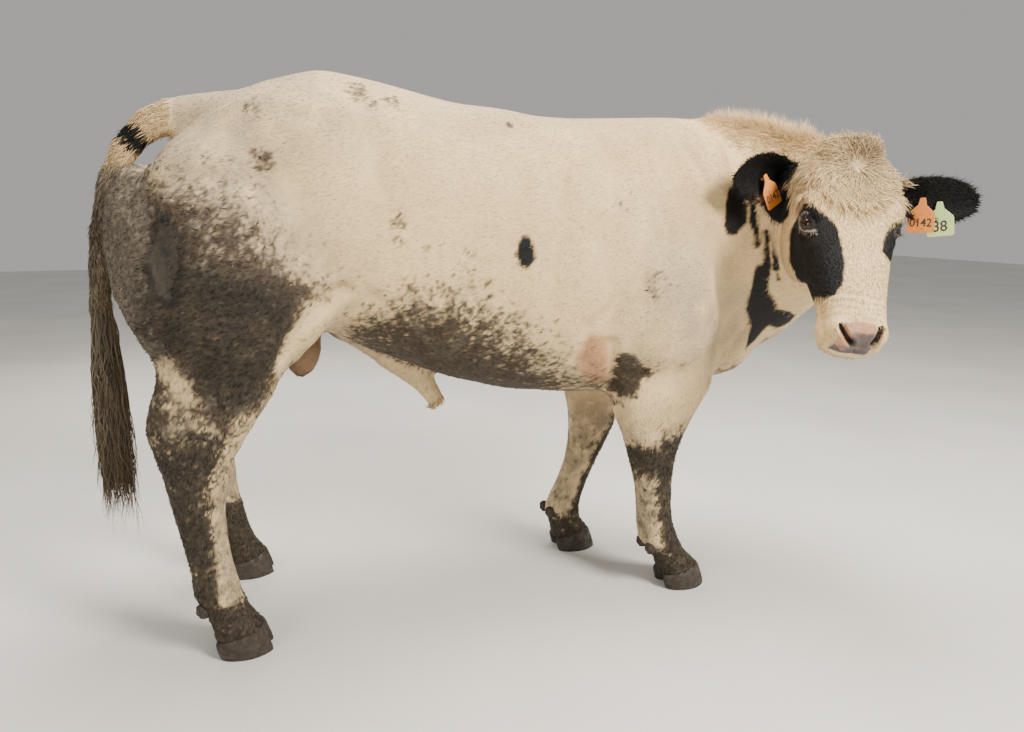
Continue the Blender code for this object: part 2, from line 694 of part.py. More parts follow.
def head_flesh():
    """The head with the end of the neck, so that its cut meets the neck's."""
    neck_end = moved([neck()], head_matrix().inverted())
    fused = with_modifier(joined(head_shapes() + neck_end), "REMESH", mode="VOXEL", voxel_size=HEAD_VOXEL)
    fused = cut(fused, [Plane((-0.2, 0, -0.42), (0.35, 0, 1))])
    ease(fused, HEAD_EASING, lambda points: 1 - 0.75 * bump(eye_distance(points), 0.03))
    shape_face(fused)
    ease(fused, 1, lambda points: np.full(len(points), 0.5))
    fused = thinned(fused, HEAD_TRIANGLES, face_coarseness)
    fused.transform(head_matrix())
    return fused


def face_coarseness(points):
    """Triangles are kept round the eyes, the nostrils and the mouth."""
    eyes = bump(eye_distance(points), 0.055)
    muzzle = np.clip((points[:, 0] - 0.40) / 0.06, 0, 1) * 0.65
    return 0.85 - 0.75 * np.maximum(eyes, muzzle)


def eye_distance(points):
    eyes = [np.array(sided(EYE, side)) for side in SIDES.values()]
    return np.min([np.linalg.norm(points - eye, axis=1) for eye in eyes], axis=0)


def largest_body(made):
    """Drops every loose scrap but the largest surface."""
    unseen = set(made.verts)
    bodies = []
    while unseen:
        body, edge = set(), [unseen.pop()]
        while edge:
            corner = edge.pop()
            body.add(corner)
            for link in corner.link_edges:
                other = link.other_vert(corner)
                if other in unseen:
                    unseen.discard(other)
                    edge.append(other)
        bodies.append(body)
    bodies.sort(key=len)
    for body in bodies[:-1]:
        bmesh.ops.delete(made, geom=list(body), context="VERTS")


def cut(mesh, planes):
    """What is left of a closed mesh on the kept side of every plane, closed again."""
    made = bmesh.new()
    made.from_mesh(mesh)
    for plane in planes:
        geometry = made.verts[:] + made.edges[:] + made.faces[:]
        bmesh.ops.bisect_plane(
            made, geom=geometry, dist=2e-5, plane_co=plane.place, plane_no=plane.normal, clear_inner=True
        )
        rim = [edge for edge in made.edges if edge.is_boundary]
        bmesh.ops.holes_fill(made, edges=rim, sides=0)
        bmesh.ops.triangulate(made, faces=[face for face in made.faces if len(face.verts) > 3])
    largest_body(made)
    bmesh.ops.recalc_face_normals(made, faces=made.faces)
    return finished(made)


def facing_back(plane):
    """The other side of a plane, a gap further on."""
    normal = Vector(plane.normal).normalized()
    return Plane(Vector(plane.place) - normal * GAP, -normal)


def grown(mesh, amount=GAP):
    made = bmesh.new()
    made.from_mesh(mesh)
    made.normal_update()
    for corner in made.verts:
        corner.co += corner.normal * amount
    return finished(made)


def combined(mesh, tools, operation):
    """The mesh after one Boolean with every tool, as one closed body."""
    workshop = bpy.data.collections.new("workshop")
    holders = []
    for tool in tools:
        holder = bpy.data.objects.new("tool", tool)
        workshop.objects.link(holder)
        holders.append(holder)
    settings = {"operation": operation, "operand_type": "COLLECTION", "collection": workshop}
    result = with_modifier(mesh, "BOOLEAN", solver="MANIFOLD", **settings)
    for holder in holders:
        bpy.data.objects.remove(holder, do_unlink=True)
    bpy.data.collections.remove(workshop)
    made = bmesh.new()
    made.from_mesh(result)
    bmesh.ops.triangulate(made, faces=made.faces[:])
    largest_body(made)
    return finished(made)


def without(mesh, tools):
    return combined(mesh, [grown(tool) for tool in tools], "DIFFERENCE")


def lock(root, out, lie, length, width, rise, curl):
    """A flat tapered lock that leaves the skin at root, lies over along its lie and curls aside."""
    aside = out.cross(lie).normalized()
    path = [(root - out * LOCK_SINK, LOCK_ROOT_FULLNESS)]
    for ring in LOCK_RINGS:
        place = root + lie * length * ring.along + out * rise * ring.rise + aside * curl * ring.curl
        path.append((place, ring.fullness))
    tip = path.pop()[0]
    made = bmesh.new()
    rings = []
    for i, (place, fullness) in enumerate(path):
        ahead = path[i + 1][0] if i + 1 < len(path) else tip
        along = (ahead - path[max(i - 1, 0)][0]).normalized()
        across = along.cross(out.cross(along)).cross(along).normalized()
        through = along.cross(across).normalized()
        half = width * fullness / 2
        thick = half * LOCK_FLATNESS
        corners = (across * half, through * thick, -across * half, -through * thick)
        rings.append([made.verts.new(place + corner) for corner in corners])
    for lower, upper in zip(rings, rings[1:]):
        for k in range(4):
            made.faces.new((lower[k], lower[(k + 1) % 4], upper[(k + 1) % 4], upper[k]))
    made.faces.new(rings[0])
    point = made.verts.new(tip)
    for k in range(4):
        made.faces.new((rings[-1][k], rings[-1][(k + 1) % 4], point))
    bmesh.ops.recalc_face_normals(made, faces=made.faces)
    bmesh.ops.triangulate(made, faces=[face for face in made.faces if len(face.verts) > 3])
    return finished(made)


def tree_of(mesh):
    made = bmesh.new()
    made.from_mesh(mesh)
    tree = BVHTree.FromBMesh(made)
    made.free()
    return tree


def head_locks(head):
    """Wavy hair on the poll and the brow, parted from a whorl high on the forehead."""
    rng = random.Random(LOCK_SEED)
    tree = tree_of(head)
    turn = head_matrix()
    facing = turn.to_3x3()
    locks = []
    for k in range(HEAD_LOCKS):
        share = (k + 0.5) / HEAD_LOCKS
        x = -0.018 + 0.178 * share + rng.uniform(-0.007, 0.007)
        y = (0.098 - 0.2 * max(x - 0.09, 0)) * (2 * ((k * GOLDEN) % 1) - 1) + rng.uniform(-0.006, 0.006)
        start = turn @ Vector((x, y, 0.12))
        place, normal, _, _ = tree.ray_cast(start, facing @ Vector((0, 0, -1)))
        if place is None:
            continue
        away = Vector((x, y)) - WHORL
        swirl = Vector((away.x - 0.45 * away.y, away.y + 0.45 * away.x)).normalized()
        lie = facing @ Vector((swirl.x, swirl.y, 0))
        lie = (lie - normal * lie.dot(normal)).normalized()
        fullness = min(max((0.07 - x) / 0.08, 0), 1)
        length = rng.uniform(0.040, 0.050) - POLL_SHORTENING * fullness
        rise = rng.uniform(0.006, 0.009) + POLL_RISE * fullness
        curl = rng.choice((-1, 1)) * rng.uniform(0.005, 0.012)
        locks.append(lock(place, normal, lie, length, rng.uniform(0.020, 0.027), rise, curl))
    return locks


def crest_locks(neck_mesh):
    """Hair that stands up along the crest from the withers to the poll and leans back."""
    rng = random.Random(LOCK_SEED + 1)
    tree = tree_of(neck_mesh)
    line = [Vector((b.x, b.y, b.z + b.rise)) for b in NECK[2:6]]
    locks = []
    for k in range(CREST_LOCKS):
        share = min(CREST_START + (k + 0.5) / CREST_LOCKS * (len(line) - 1), len(line) - 1.001)
        i = int(share)
        along = (line[i + 1] - line[i]).normalized()
        aside = Vector((-along.y, along.x, 0)).normalized()
        spot = line[i].lerp(line[i + 1], share - i) + aside * rng.uniform(-0.050, 0.050)
        place, normal, _, _ = tree.ray_cast(spot + Vector((0, 0, 0.3)), Vector((0, 0, -1)))
        if place is None or normal.z < 0.4:
            continue
        standing = CREST_STANDING * min(2.8 - share, 1) + CREST_REAR_STANDING * max(1 - 1.6 * share, 0)
        lie = (-along + aside * rng.uniform(-0.6, 0.6) + Vector((0, 0, standing))).normalized()
        lie = (lie - normal * lie.dot(normal) * 0.3).normalized()
        length, width = rng.uniform(0.042, 0.054), rng.uniform(0.026, 0.034)
        rise, curl = rng.uniform(0.012, 0.018), rng.uniform(-0.008, 0.008)
        locks.append(lock(place, normal, lie, length, width, rise, curl))
    return locks


def tail_locks(core):
    """The switch: long locks that leave the core all round and hang down along it."""
    rng = random.Random(LOCK_SEED + 2)
    tree = tree_of(core)
    locks = []
    for k in range(SWITCH_LOCKS):
        share = (k + 0.5) / SWITCH_LOCKS
        height = SWITCH_ROOTS[0] + (SWITCH_ROOTS[1] - SWITCH_ROOTS[0]) * share
        angle = 2 * math.pi * GOLDEN * k + rng.uniform(-0.3, 0.3)
        out = Vector((math.cos(angle), math.sin(angle), 0))
        centre = Vector((SWITCH[0][0][0] - SWITCH_LEAN * share, 0, height))
        place, normal, _, _ = tree.ray_cast(centre + out * 0.2, -out)
        if place is None:
            continue
        lie = Vector((-0.05, 0, -1)) + out * rng.uniform(0.0, 0.10)
        lie = (lie - normal * lie.dot(normal) * 0.5).normalized()
        length = rng.uniform(0.105, 0.140)
        width, rise = rng.uniform(0.022, 0.029), rng.uniform(0.006, 0.012)
        locks.append(lock(place, normal, lie, length, width, rise, rng.uniform(-0.010, 0.010)))
    return locks


def ear(name):
    """A broad ear: rings of a thin curved wall, deep at the root and shallow at the tip."""
    point, opening = EAR_POSES[name]
    point = point.normalized()
    opening = (opening - point * opening.dot(point)).normalized()
    across = point.cross(opening)
    root = head_matrix() @ EAR_PLACES[name]
    rings = []
    for s in EAR:
        middle = root + point * (s.share * EAR_LENGTH - 0.012)
        spots = [2 * k / (EAR_ARC_POINTS - 1) - 1 for k in range(EAR_ARC_POINTS)]
        wall = EAR_THICKNESS * (1 - 0.45 * s.share)
        back, front = [], []
        for t in spots:
            base = middle + across * (s.half_width * t) - opening * (s.cup * (1 - t * t))
            half = wall / 2 * (1 - 0.45 * t * t)
            back.append(base - opening * half)
            front.append(base + opening * half)
        rings.append(back + front[::-1])
    return closed_loft(rings)


def claw(foot, side):
    """One claw: a wedge with a curved outer wall, a flat inner wall and a flat sole."""
    rings = []
    for height, reach, lean in CLAW_RINGS:
        ring = []
        for k in range(CLAW_POINTS):
            angle = 2 * math.pi * k / CLAW_POINTS
            along = CLAW_HALF_LENGTH * reach * math.cos(angle) + lean
            around = math.sin(angle)
            outer = CLAW_HALF_WIDTH * reach * (1 + around) * 0.98
            taper = 1 - 0.30 * max(math.cos(angle), 0) ** 2
            across = CLAW_CLEFT + max(outer * taper, 0.0)
            top = CORONET_HEIGHT + CORONET_SLOPE * along - GAP
            level = top if height is None else height
            ring.append(Vector((foot.x + along, foot.y + side * across, level)))
        rings.append(ring)
    return closed_loft(rings)


def coronet(foot, keep):
    """The cut between a pastern and its claws; keep is 1 for what lies above it."""
    normal = Vector((-CORONET_SLOPE, 0, 1)).normalized() * keep
    return Plane(Vector((foot.x, foot.y, CORONET_HEIGHT)), normal)


def dewclaw(stations, side, inner):
    x, y, half_depth = interpolated(stations, DEWCLAW_HEIGHT)
    place = (x - half_depth * 0.86, side * y + inner * 0.027, DEWCLAW_HEIGHT)
    return ellipsoid(Muscle(place, DEWCLAW_RADII, (0, -25, 0)), detail=1)


def interpolated(stations, height):
    for upper, lower in zip(stations, stations[1:]):
        if lower.z <= height <= upper.z:
            share = (height - lower.z) / (upper.z - lower.z)
            return tuple(low + share * (high - low) for low, high in zip(lower[1:4], upper[1:4]))
    return stations[-1][1:4]


def tag(place, out, down, stand):
    """A tag that stands in front of the ear with its button behind, pinned by a stud through it."""
    out = out.normalized()
    down = (down - out * down.dot(out)).normalized()
    across = down.cross(out)
    half, height = TAG_PANEL[0] / 2, TAG_PANEL[1]
    depth = TAG_NECK_LENGTH
    outline = [
        (-0.2 * half, -0.010), (0.2 * half, -0.010), (0.32 * half, 0.3 * depth), (0.9 * half, depth),
        (half, depth + 0.006), (half, depth + height - 0.004), (half - 0.004, depth + height),
        (-half + 0.004, depth + height), (-half, depth + height - 0.004), (-half, depth + 0.006),
        (-0.9 * half, depth), (-0.32 * half, 0.3 * depth),
    ]
    rings = [
        [place + out * level + across * a + down * b for a, b in outline]
        for level in (stand, stand + TAG_THICKNESS)
    ]
    stud = disc(place, out, STUD_RADIUS, BUTTON_LEVELS[1] - 0.001, stand + 0.001)
    button = disc(place, out, BUTTON_RADIUS, *BUTTON_LEVELS)
    return combined(closed_loft(rings), [stud, button], "UNION")


def disc(place, out, radius, start, end, sides=14):
    """A round pin or button between two distances along out."""
    side = out.orthogonal().normalized()
    other = out.cross(side)
    rings = [
        [
            place + out * level
            + side * (radius * math.cos(2 * math.pi * k / sides))
            + other * (radius * math.sin(2 * math.pi * k / sides))
            for k in range(sides)
        ]
        for level in (start, end)
    ]
    return closed_loft(rings)


def material(name, colour, roughness=0.8):
    found = bpy.data.materials.get(name)
    if found:
        return found
    made = bpy.data.materials.new(name)
    made.use_nodes = True
    shader = made.node_tree.nodes["Principled BSDF"]
    shader.inputs["Base Color"].default_value = (*colour, 1)
    shader.inputs["Roughness"].default_value = roughness
    return made


def piece(name, mesh, finish):
    """A named object with its own finish, shaded smooth but for its sharp edges."""
    mesh.name = name
    mesh.polygons.foreach_set("use_smooth", [True] * len(mesh.polygons))
    mesh.set_sharp_from_angle(angle=SHARP_ANGLE)
    mesh.materials.clear()
    mesh.materials.append(finish)
    obj = bpy.data.objects.new(name, mesh)
    bpy.context.scene.collection.objects.link(obj)
    return obj


def scrotum():
    shapes = []
    for side in SIDES.values():
        shapes += [ellipsoid(mirrored(muscle, side)) for muscle in SCROTUM.values()]
    fused = with_modifier(joined(shapes), "REMESH", mode="VOXEL", voxel_size=0.007)
    ease(fused, 8, lambda points: np.ones(len(points)))
    return thinned(fused, SCROTUM_TRIANGLES)


def centre_on_floor(pieces):
    """Moves everything so that the whole sits over the origin, soles on the floor."""
    points = np.concatenate([corners_of(obj.data) for obj in pieces])
    low, high = points.min(axis=0), points.max(axis=0)
    shift = Matrix.Translation((-(low[0] + high[0]) / 2, -(low[1] + high[1]) / 2, 0))
    for obj in pieces:
        obj.data.transform(shift)


def feet(body, pieces):
    """Each leg below the trunk, with two claws and two dewclaws."""
    for name, (stations, side) in LEGS.items():
        top = HIND_LEG_TOP if name.startswith("hind") else FORE_LEG_TOP
        fore = 1 if name.startswith("fore") else -1
        foot = Vector((stations[-1].x, side * stations[-1].y, 0))
        middle = FRONT_SHIFT * 0.4 if fore > 0 else 0.0
        lower_leg = cut(body, [
            Plane((0, 0, top - GAP), (0, 0, -1)),
            Plane((BETWEEN_LEGS, 0, 0), (fore, 0, 0)),
            Plane((0, middle, 0), (0, side, 0)),
            coronet(foot, 1),
        ])
        pieces.append(piece("leg_" + name, lower_leg, material("coat_white", COAT_COLOUR)))
        horn = material("horn_grey", HORN_COLOUR, 0.5)
        for inner, label in ((-side, "inner"), (side, "outer")):
            pieces.append(piece(f"claw_{name}_{label}", claw(foot, inner), horn))
            spur = without(dewclaw(stations, side, inner), [lower_leg])
            pieces.append(piece(f"dewclaw_{name}_{label}", spur, horn))


def ear_tags(ears, pieces):
    """The tags and the ears they pass through."""
    for name, kind in TAGS.items():
        point, opening = EAR_POSES[kind.ear]
        point = point.normalized()
        opening = (opening - point * opening.dot(point)).normalized()
        across = point.cross(opening)
        root = head_matrix() @ EAR_PLACES[kind.ear]
        spot = root + point * kind.along + across * kind.aside
        place, _, _, _ = tree_of(ears[kind.ear]).ray_cast(spot + opening * 0.1, -opening)
        made = tag(place, Vector(kind.out), Vector(kind.hang), kind.stand)
        ears[kind.ear] = without(ears[kind.ear], [made])
        pieces.append(piece(name, made, material("tag_" + name.split("_")[1], kind.colour, 0.45)))
    for ear_name, mesh in ears.items():
        pieces.append(piece("ear_" + ear_name, mesh, material("ear_black", (0.02, 0.02, 0.02))))


def main():
    remove_everything()
    coat = material("coat_white", COAT_COLOUR)
    pieces = []
    body = body_flesh()
    head = cut(head_flesh(), [THROAT_CUT])
    for name, side in SIDES.items():
        eye = ellipsoid(Muscle((0, 0, 0), (EYE_RADIUS,) * 3, (0, 0, 0)), 2)
        eye.transform(Matrix.Translation(head_matrix() @ sided(EYE, side)))
        head = without(head, [eye])
        pieces.append(piece("eye_" + name, eye, material("eye_dark", (0.01, 0.01, 0.01), 0.1)))
    trunk_only = without_tail(cut(body, [facing_back(NECK_CUT)]))
    neck_mesh = cut(body, [NECK_CUT, facing_back(THROAT_CUT)])
    head = combined(head, head_locks(head), "UNION")
    neck_mesh = combined(neck_mesh, crest_locks(neck_mesh), "UNION")
    torso = without_legs(trunk_only)
    ears = {name: without(ear(name), [head, neck_mesh]) for name in SIDES}
    ear_tags(ears, pieces)
    pieces.append(piece("torso", torso, coat))
    pieces.append(piece("neck", neck_mesh, coat))
    pieces.append(piece("head", head, coat))
    feet(body, pieces)
    dock = cut(tube(TAIL), [TAIL_CUT, Plane((0, 0, SWITCH_TOP + GAP), (0, 0, 1))])
    pieces.append(piece("tail", without(dock, [torso]), coat))
    core = cut(tube(SWITCH), [Plane((0, 0, SWITCH_TOP), (0, 0, -1))])
    pieces.append(piece("tail_switch", combined(core, tail_locks(core), "UNION"), coat))
    pieces.append(piece("scrotum", without(scrotum(), [torso]), material("scrotum_skin", (0.3, 0.15, 0.1))))
    centre_on_floor(pieces)


def without_legs(mesh):
    """The trunk without what lies below the tops of the legs."""
    made = without_below(mesh, HIND_LEG_TOP, HIND_LEG_LIMIT, -1)
    return without_below(made, FORE_LEG_TOP, FORE_LEG_LIMIT, 1)


def without_tail(mesh):
    """The trunk without the tail root that lies behind the tail's cut."""
    normal = Vector(TAIL_CUT.normal).normalized()
    up = Vector((-normal.z, 0, normal.x))
    up = up if up.z > 0 else -up
    start = Vector(TAIL_CUT.place) - normal * GAP
    rings = [
        [start + normal * depth + up * high + Vector((0, y, 0))
         for y, high in ((-0.07, -0.055), (0.07, -0.055), (0.07, 0.12), (-0.07, 0.12))]
        for depth in (0.0, 0.2)
    ]
    return combined(mesh, [closed_loft(rings)], "DIFFERENCE")


def without_below(mesh, top, limit, way):
    """Takes away a block below top, from limit in the way given along x."""
    low, high = sorted((limit, limit + way * 1.2))
    outline = ((-1, -0.5), (1, -0.5), (1, top), (-1, top))
    rings = [[Vector((x, y, z)) for y, z in outline] for x in (low, high)]
    return combined(mesh, [closed_loft(rings)], "DIFFERENCE")


main()
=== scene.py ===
"""The bull's looks: one skin with its markings and mud, a coat of solid tufts, eyes, claws and ear tags.

Shapes are worked out in the modelling frame (+X forward, +Y to the animal's left, soles on Z = 0, metres)
and moved over the CAD nodes at the end. The head has its own frame: x from the poll down the face to the
muzzle, y to the animal's left, z out of the face.
"""

import json
import math
from collections import namedtuple

import bmesh
import bpy
import numpy as np
from mathutils import Matrix, Vector
from mathutils.bvhtree import BVHTree

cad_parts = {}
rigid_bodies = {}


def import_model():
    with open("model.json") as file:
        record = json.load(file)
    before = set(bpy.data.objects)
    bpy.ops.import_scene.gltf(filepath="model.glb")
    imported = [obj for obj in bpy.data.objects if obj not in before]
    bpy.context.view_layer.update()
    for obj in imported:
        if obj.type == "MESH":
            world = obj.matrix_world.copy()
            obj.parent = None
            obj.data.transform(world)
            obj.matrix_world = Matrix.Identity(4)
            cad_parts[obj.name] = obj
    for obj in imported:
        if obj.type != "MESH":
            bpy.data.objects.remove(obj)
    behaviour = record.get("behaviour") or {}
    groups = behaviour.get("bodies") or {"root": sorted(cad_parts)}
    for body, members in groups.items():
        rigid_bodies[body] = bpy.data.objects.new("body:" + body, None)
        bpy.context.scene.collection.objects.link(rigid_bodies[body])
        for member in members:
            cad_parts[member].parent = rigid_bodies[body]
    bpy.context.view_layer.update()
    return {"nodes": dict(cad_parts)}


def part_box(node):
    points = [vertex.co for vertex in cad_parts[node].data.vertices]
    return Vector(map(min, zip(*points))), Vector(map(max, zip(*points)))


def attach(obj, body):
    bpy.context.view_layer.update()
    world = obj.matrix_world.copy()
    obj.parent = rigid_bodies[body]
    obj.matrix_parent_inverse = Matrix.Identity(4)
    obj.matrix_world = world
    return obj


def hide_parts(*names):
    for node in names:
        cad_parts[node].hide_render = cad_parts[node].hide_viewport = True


# Driving dimensions, the same as the solids'
WITHERS_HEIGHT = 1.328
CROUP_HEIGHT = 1.412
CHEST_FLOOR = 0.562
FRONT_SHIFT = -0.045
RIGHT, LEFT = -1, 1
SIDES = {"right": RIGHT, "left": LEFT}
HEAD_YAW = math.radians(-120)
HEAD_PITCH = math.radians(55)
HEAD_ROLL = math.radians(-9.4)
POLL = Vector((0.716, -0.440, 1.226))
EYE = Vector((0.212, 0.097, -0.048))
EYE_RADIUS = 0.0195
EYE_AXIS = Vector((0.02, 0.86, 0.50))
EYE_CORNER_AXIS = Vector((0.55, 0.0, 0.75))
LID_RADIUS = 0.0046
LID_HALF_LENGTH = 0.0205
UPPER_LID_RISE = 0.0115
LOWER_LID_DROP = -0.0095
EYE_FLOOR = 0.008
NOSTRILS = {
    RIGHT: [
        (0.497, -0.043, -0.018), (0.510, -0.036, -0.022), (0.518, -0.025, -0.032), (0.523, -0.014, -0.040),
    ],
    LEFT: [
        (0.496, 0.045, -0.017), (0.508, 0.040, -0.022), (0.516, 0.036, -0.030), (0.522, 0.032, -0.039),
    ],
}
NOSTRIL_WAY = np.array((-0.78, 0.0, -0.62))  # the way the nostrils lead in
NOSTRIL_DEPTH = 0.021
NOSTRIL_RIM = 0.0030
MOUTH_CORNER_X = 0.405
MOUTH_Z = -0.108

# The camera stands where the photograph was taken from
CAMERA_PLACE = Vector((-0.66, -2.052, 1.066))
CAMERA_HEADING = math.radians(17.0)
CAMERA_TILT = math.radians(11.5)
CAMERA_LENS = 26.7
FOOT_MARK = Vector((-0.852, -0.2125, 0.0))  # the lowest corner of the right hind inner claw

# How finely the skin is fused and eased
BODY_VOXEL = 0.0075
BODY_EASING = 72
LAST_EASING = 3
HEAD_VOXEL = 0.0031
HEAD_EASING = 28
RING_POINTS = 48
SEAM_GAP = 0.009
SEAM_BLEND = 0.050
SEAM_REACH = 0.030
SEAM_EASED = 0.035  # how far from the seam the bridged skin is eased
SEAM_ROUNDS = 30
NECK_FROM_X = 0.35
COAT_DEPTH = 0.0025
POLL_COAT_DEPTH = 0.006
MUD_DEPTH = 0.0035

Plane = namedtuple("Plane", "place normal")
SEAM = Plane((0.731, -0.194, 1.091), (0.46, -0.86, 0.10))

Section = namedtuple("Section", "x top bottom half_width squareness")
Leg = namedtuple("Leg", "z x y half_depth half_width")
Muscle = namedtuple("Muscle", "place radii turn")
Bend = namedtuple("Bend", "x y z heading half_width rise drop")
Crease = namedtuple("Crease", "path depth width")

TRUNK = [
    Section(-0.930, 1.165, 1.010, 0.085, 2.0),
    Section(-0.880, 1.245, 0.920, 0.160, 2.1),
    Section(-0.800, 1.318, 0.850, 0.225, 2.2),
    Section(-0.680, 1.376, 0.790, 0.270, 2.3),
    Section(-0.540, CROUP_HEIGHT, 0.755, 0.288, 2.4),
    Section(-0.400, 1.388, 0.690, 0.287, 2.5),
    Section(-0.240, 1.352, 0.620, 0.298, 2.4),
    Section(-0.080, 1.324, 0.578, 0.318, 2.4),
    Section(0.100, 1.314, CHEST_FLOOR, 0.326, 2.4),
    Section(0.270, 1.320, 0.558, 0.300, 2.4),
    Section(0.420, WITHERS_HEIGHT, 0.572, 0.252, 2.3),
    Section(0.540, 1.312, 0.592, 0.206, 2.2),
    Section(0.620, 1.240, 0.620, 0.160, 2.0),
    Section(0.668, 1.120, 0.660, 0.085, 2.0),
]
WIDEST_AT = 0.46

NECK = [
    Bend(0.200, -0.020, 0.960, 0, 0.265, 0.340, 0.360),
    Bend(0.400, -0.040, 0.970, -8, 0.250, 0.350, 0.365),
    Bend(0.545, -0.075, 0.985, -24, 0.226, 0.342, 0.350),
    Bend(0.654, -0.135, 1.005, -42, 0.190, 0.310, 0.350),
    Bend(0.726, -0.212, 1.035, -62, 0.152, 0.245, 0.312),
    Bend(0.768, -0.295, 1.070, -78, 0.120, 0.175, 0.235),
    Bend(0.770, -0.352, 1.090, -90, 0.070, 0.090, 0.105),
]

MUSCLES = {
    "thigh": Muscle((-0.775, 0.180, 0.945), (0.228, 0.158, 0.300), (0, 6, 0)),
    "buttock": Muscle((-0.930, 0.130, 0.950), (0.106, 0.115, 0.225), (0, -6, 0)),
    "rump": Muscle((-0.600, 0.135, 1.206), (0.245, 0.142, 0.156), (0, -12, 0)),
    "pin": Muscle((-0.800, 0.100, 1.150), (0.130, 0.105, 0.110), (0, -20, 0)),
    "stifle": Muscle((-0.640, 0.222, 0.850), (0.110, 0.080, 0.150), (0, 24, 0)),
    "loin": Muscle((-0.260, 0.115, 1.222), (0.330, 0.110, 0.105), (0, -5, 0)),
    "shoulder": Muscle((0.295, 0.215, 0.840), (0.175, 0.112, 0.215), (0, -18, 0)),
    "blade": Muscle((0.375, 0.155, 1.060), (0.150, 0.118, 0.230), (0, 14, 0)),
    "breast": Muscle((0.550, 0.085, 0.725), (0.118, 0.115, 0.130), (0, 0, 0)),
    "brisket": Muscle((0.380, 0.060, 0.628), (0.200, 0.105, 0.068), (0, 0, 0)),
}
FRONT_MUSCLES = ("shoulder", "blade", "breast", "brisket")

# Furrows between the muscles on the left flank; each is also cut on the right
CREASES = [
    Crease([(-0.44, 0.30, 1.22), (-0.47, 0.32, 1.05), (-0.50, 0.32, 0.90)], 0.012, 0.045),
    Crease([(-0.62, 0.30, 1.12), (-0.80, 0.30, 1.14), (-0.92, 0.20, 1.10)], 0.010, 0.035),
    Crease([(-0.93, 0.28, 1.10), (-0.90, 0.33, 0.90), (-0.92, 0.28, 0.74)], 0.010, 0.032),
    Crease([(0.14, 0.26, 1.20), (0.10, 0.30, 1.00), (0.12, 0.28, 0.78)], 0.012, 0.042),
    Crease([(0.22, 0.24, 0.98), (0.36, 0.24, 0.97), (0.46, 0.20, 1.02)], 0.009, 0.034),
    Crease([(0.52, 0.18, 1.26), (0.53, 0.22, 1.05), (0.46, 0.24, 0.86)], 0.011, 0.036),
    Crease([(0.19, 0.20, 0.70), (0.17, 0.19, 0.60), (0.19, 0.19, 0.54)], 0.012, 0.026),
]

SHEATH = [
    ((-0.530, 0.0, 0.775), 0.036),
    ((-0.440, 0.0, 0.720), 0.040),
    ((-0.350, 0.0, 0.655), 0.040),
    ((-0.290, 0.0, 0.600), 0.034),
    ((-0.252, 0.0, 0.538), 0.025),
]
SHEATH_TIP = (-0.252, 0, 0.535)
SCROTUM = {
    "pouch": Muscle((-0.612, 0.030, 0.715), (0.052, 0.042, 0.080), (0, 8, 0)),
    "throat": Muscle((-0.612, 0.012, 0.790), (0.044, 0.038, 0.070), (0, 8, 0)),
}

HIND_LEG = [
    Leg(0.960, -0.780, 0.190, 0.225, 0.138),
    Leg(0.870, -0.785, 0.198, 0.222, 0.140),
    Leg(0.795, -0.790, 0.204, 0.190, 0.124),
    Leg(0.735, -0.787, 0.208, 0.156, 0.106),
    Leg(0.685, -0.800, 0.210, 0.140, 0.090),
    Leg(0.640, -0.824, 0.212, 0.139, 0.077),
    Leg(0.590, -0.847, 0.214, 0.129, 0.066),
    Leg(0.545, -0.860, 0.215, 0.110, 0.061),
    Leg(0.500, -0.868, 0.216, 0.087, 0.058),
    Leg(0.440, -0.872, 0.217, 0.071, 0.051),
    Leg(0.370, -0.872, 0.217, 0.060, 0.046),
    Leg(0.290, -0.864, 0.217, 0.053, 0.044),
    Leg(0.215, -0.853, 0.217, 0.052, 0.046),
    Leg(0.160, -0.846, 0.217, 0.057, 0.054),
    Leg(0.110, -0.826, 0.217, 0.053, 0.053),
    Leg(0.070, -0.806, 0.217, 0.060, 0.058),
    Leg(0.035, -0.800, 0.217, 0.062, 0.058),
    Leg(0.010, -0.800, 0.217, 0.062, 0.058),
]
FORE_LEG_RIGHT = [
    Leg(0.760, 0.330, 0.190, 0.160, 0.098),
    Leg(0.660, 0.335, 0.198, 0.166, 0.098),
    Leg(0.585, 0.335, 0.200, 0.156, 0.092),
    Leg(0.518, 0.322, 0.202, 0.122, 0.080),
    Leg(0.451, 0.318, 0.204, 0.090, 0.066),
    Leg(0.405, 0.316, 0.205, 0.074, 0.060),
    Leg(0.360, 0.318, 0.206, 0.063, 0.057),
    Leg(0.310, 0.322, 0.208, 0.055, 0.049),
    Leg(0.250, 0.325, 0.210, 0.053, 0.045),
    Leg(0.190, 0.330, 0.212, 0.055, 0.048),
    Leg(0.145, 0.342, 0.214, 0.059, 0.054),
    Leg(0.105, 0.370, 0.215, 0.053, 0.052),
    Leg(0.070, 0.398, 0.216, 0.060, 0.058),
    Leg(0.035, 0.406, 0.216, 0.062, 0.058),
    Leg(0.010, 0.406, 0.216, 0.062, 0.058),
]
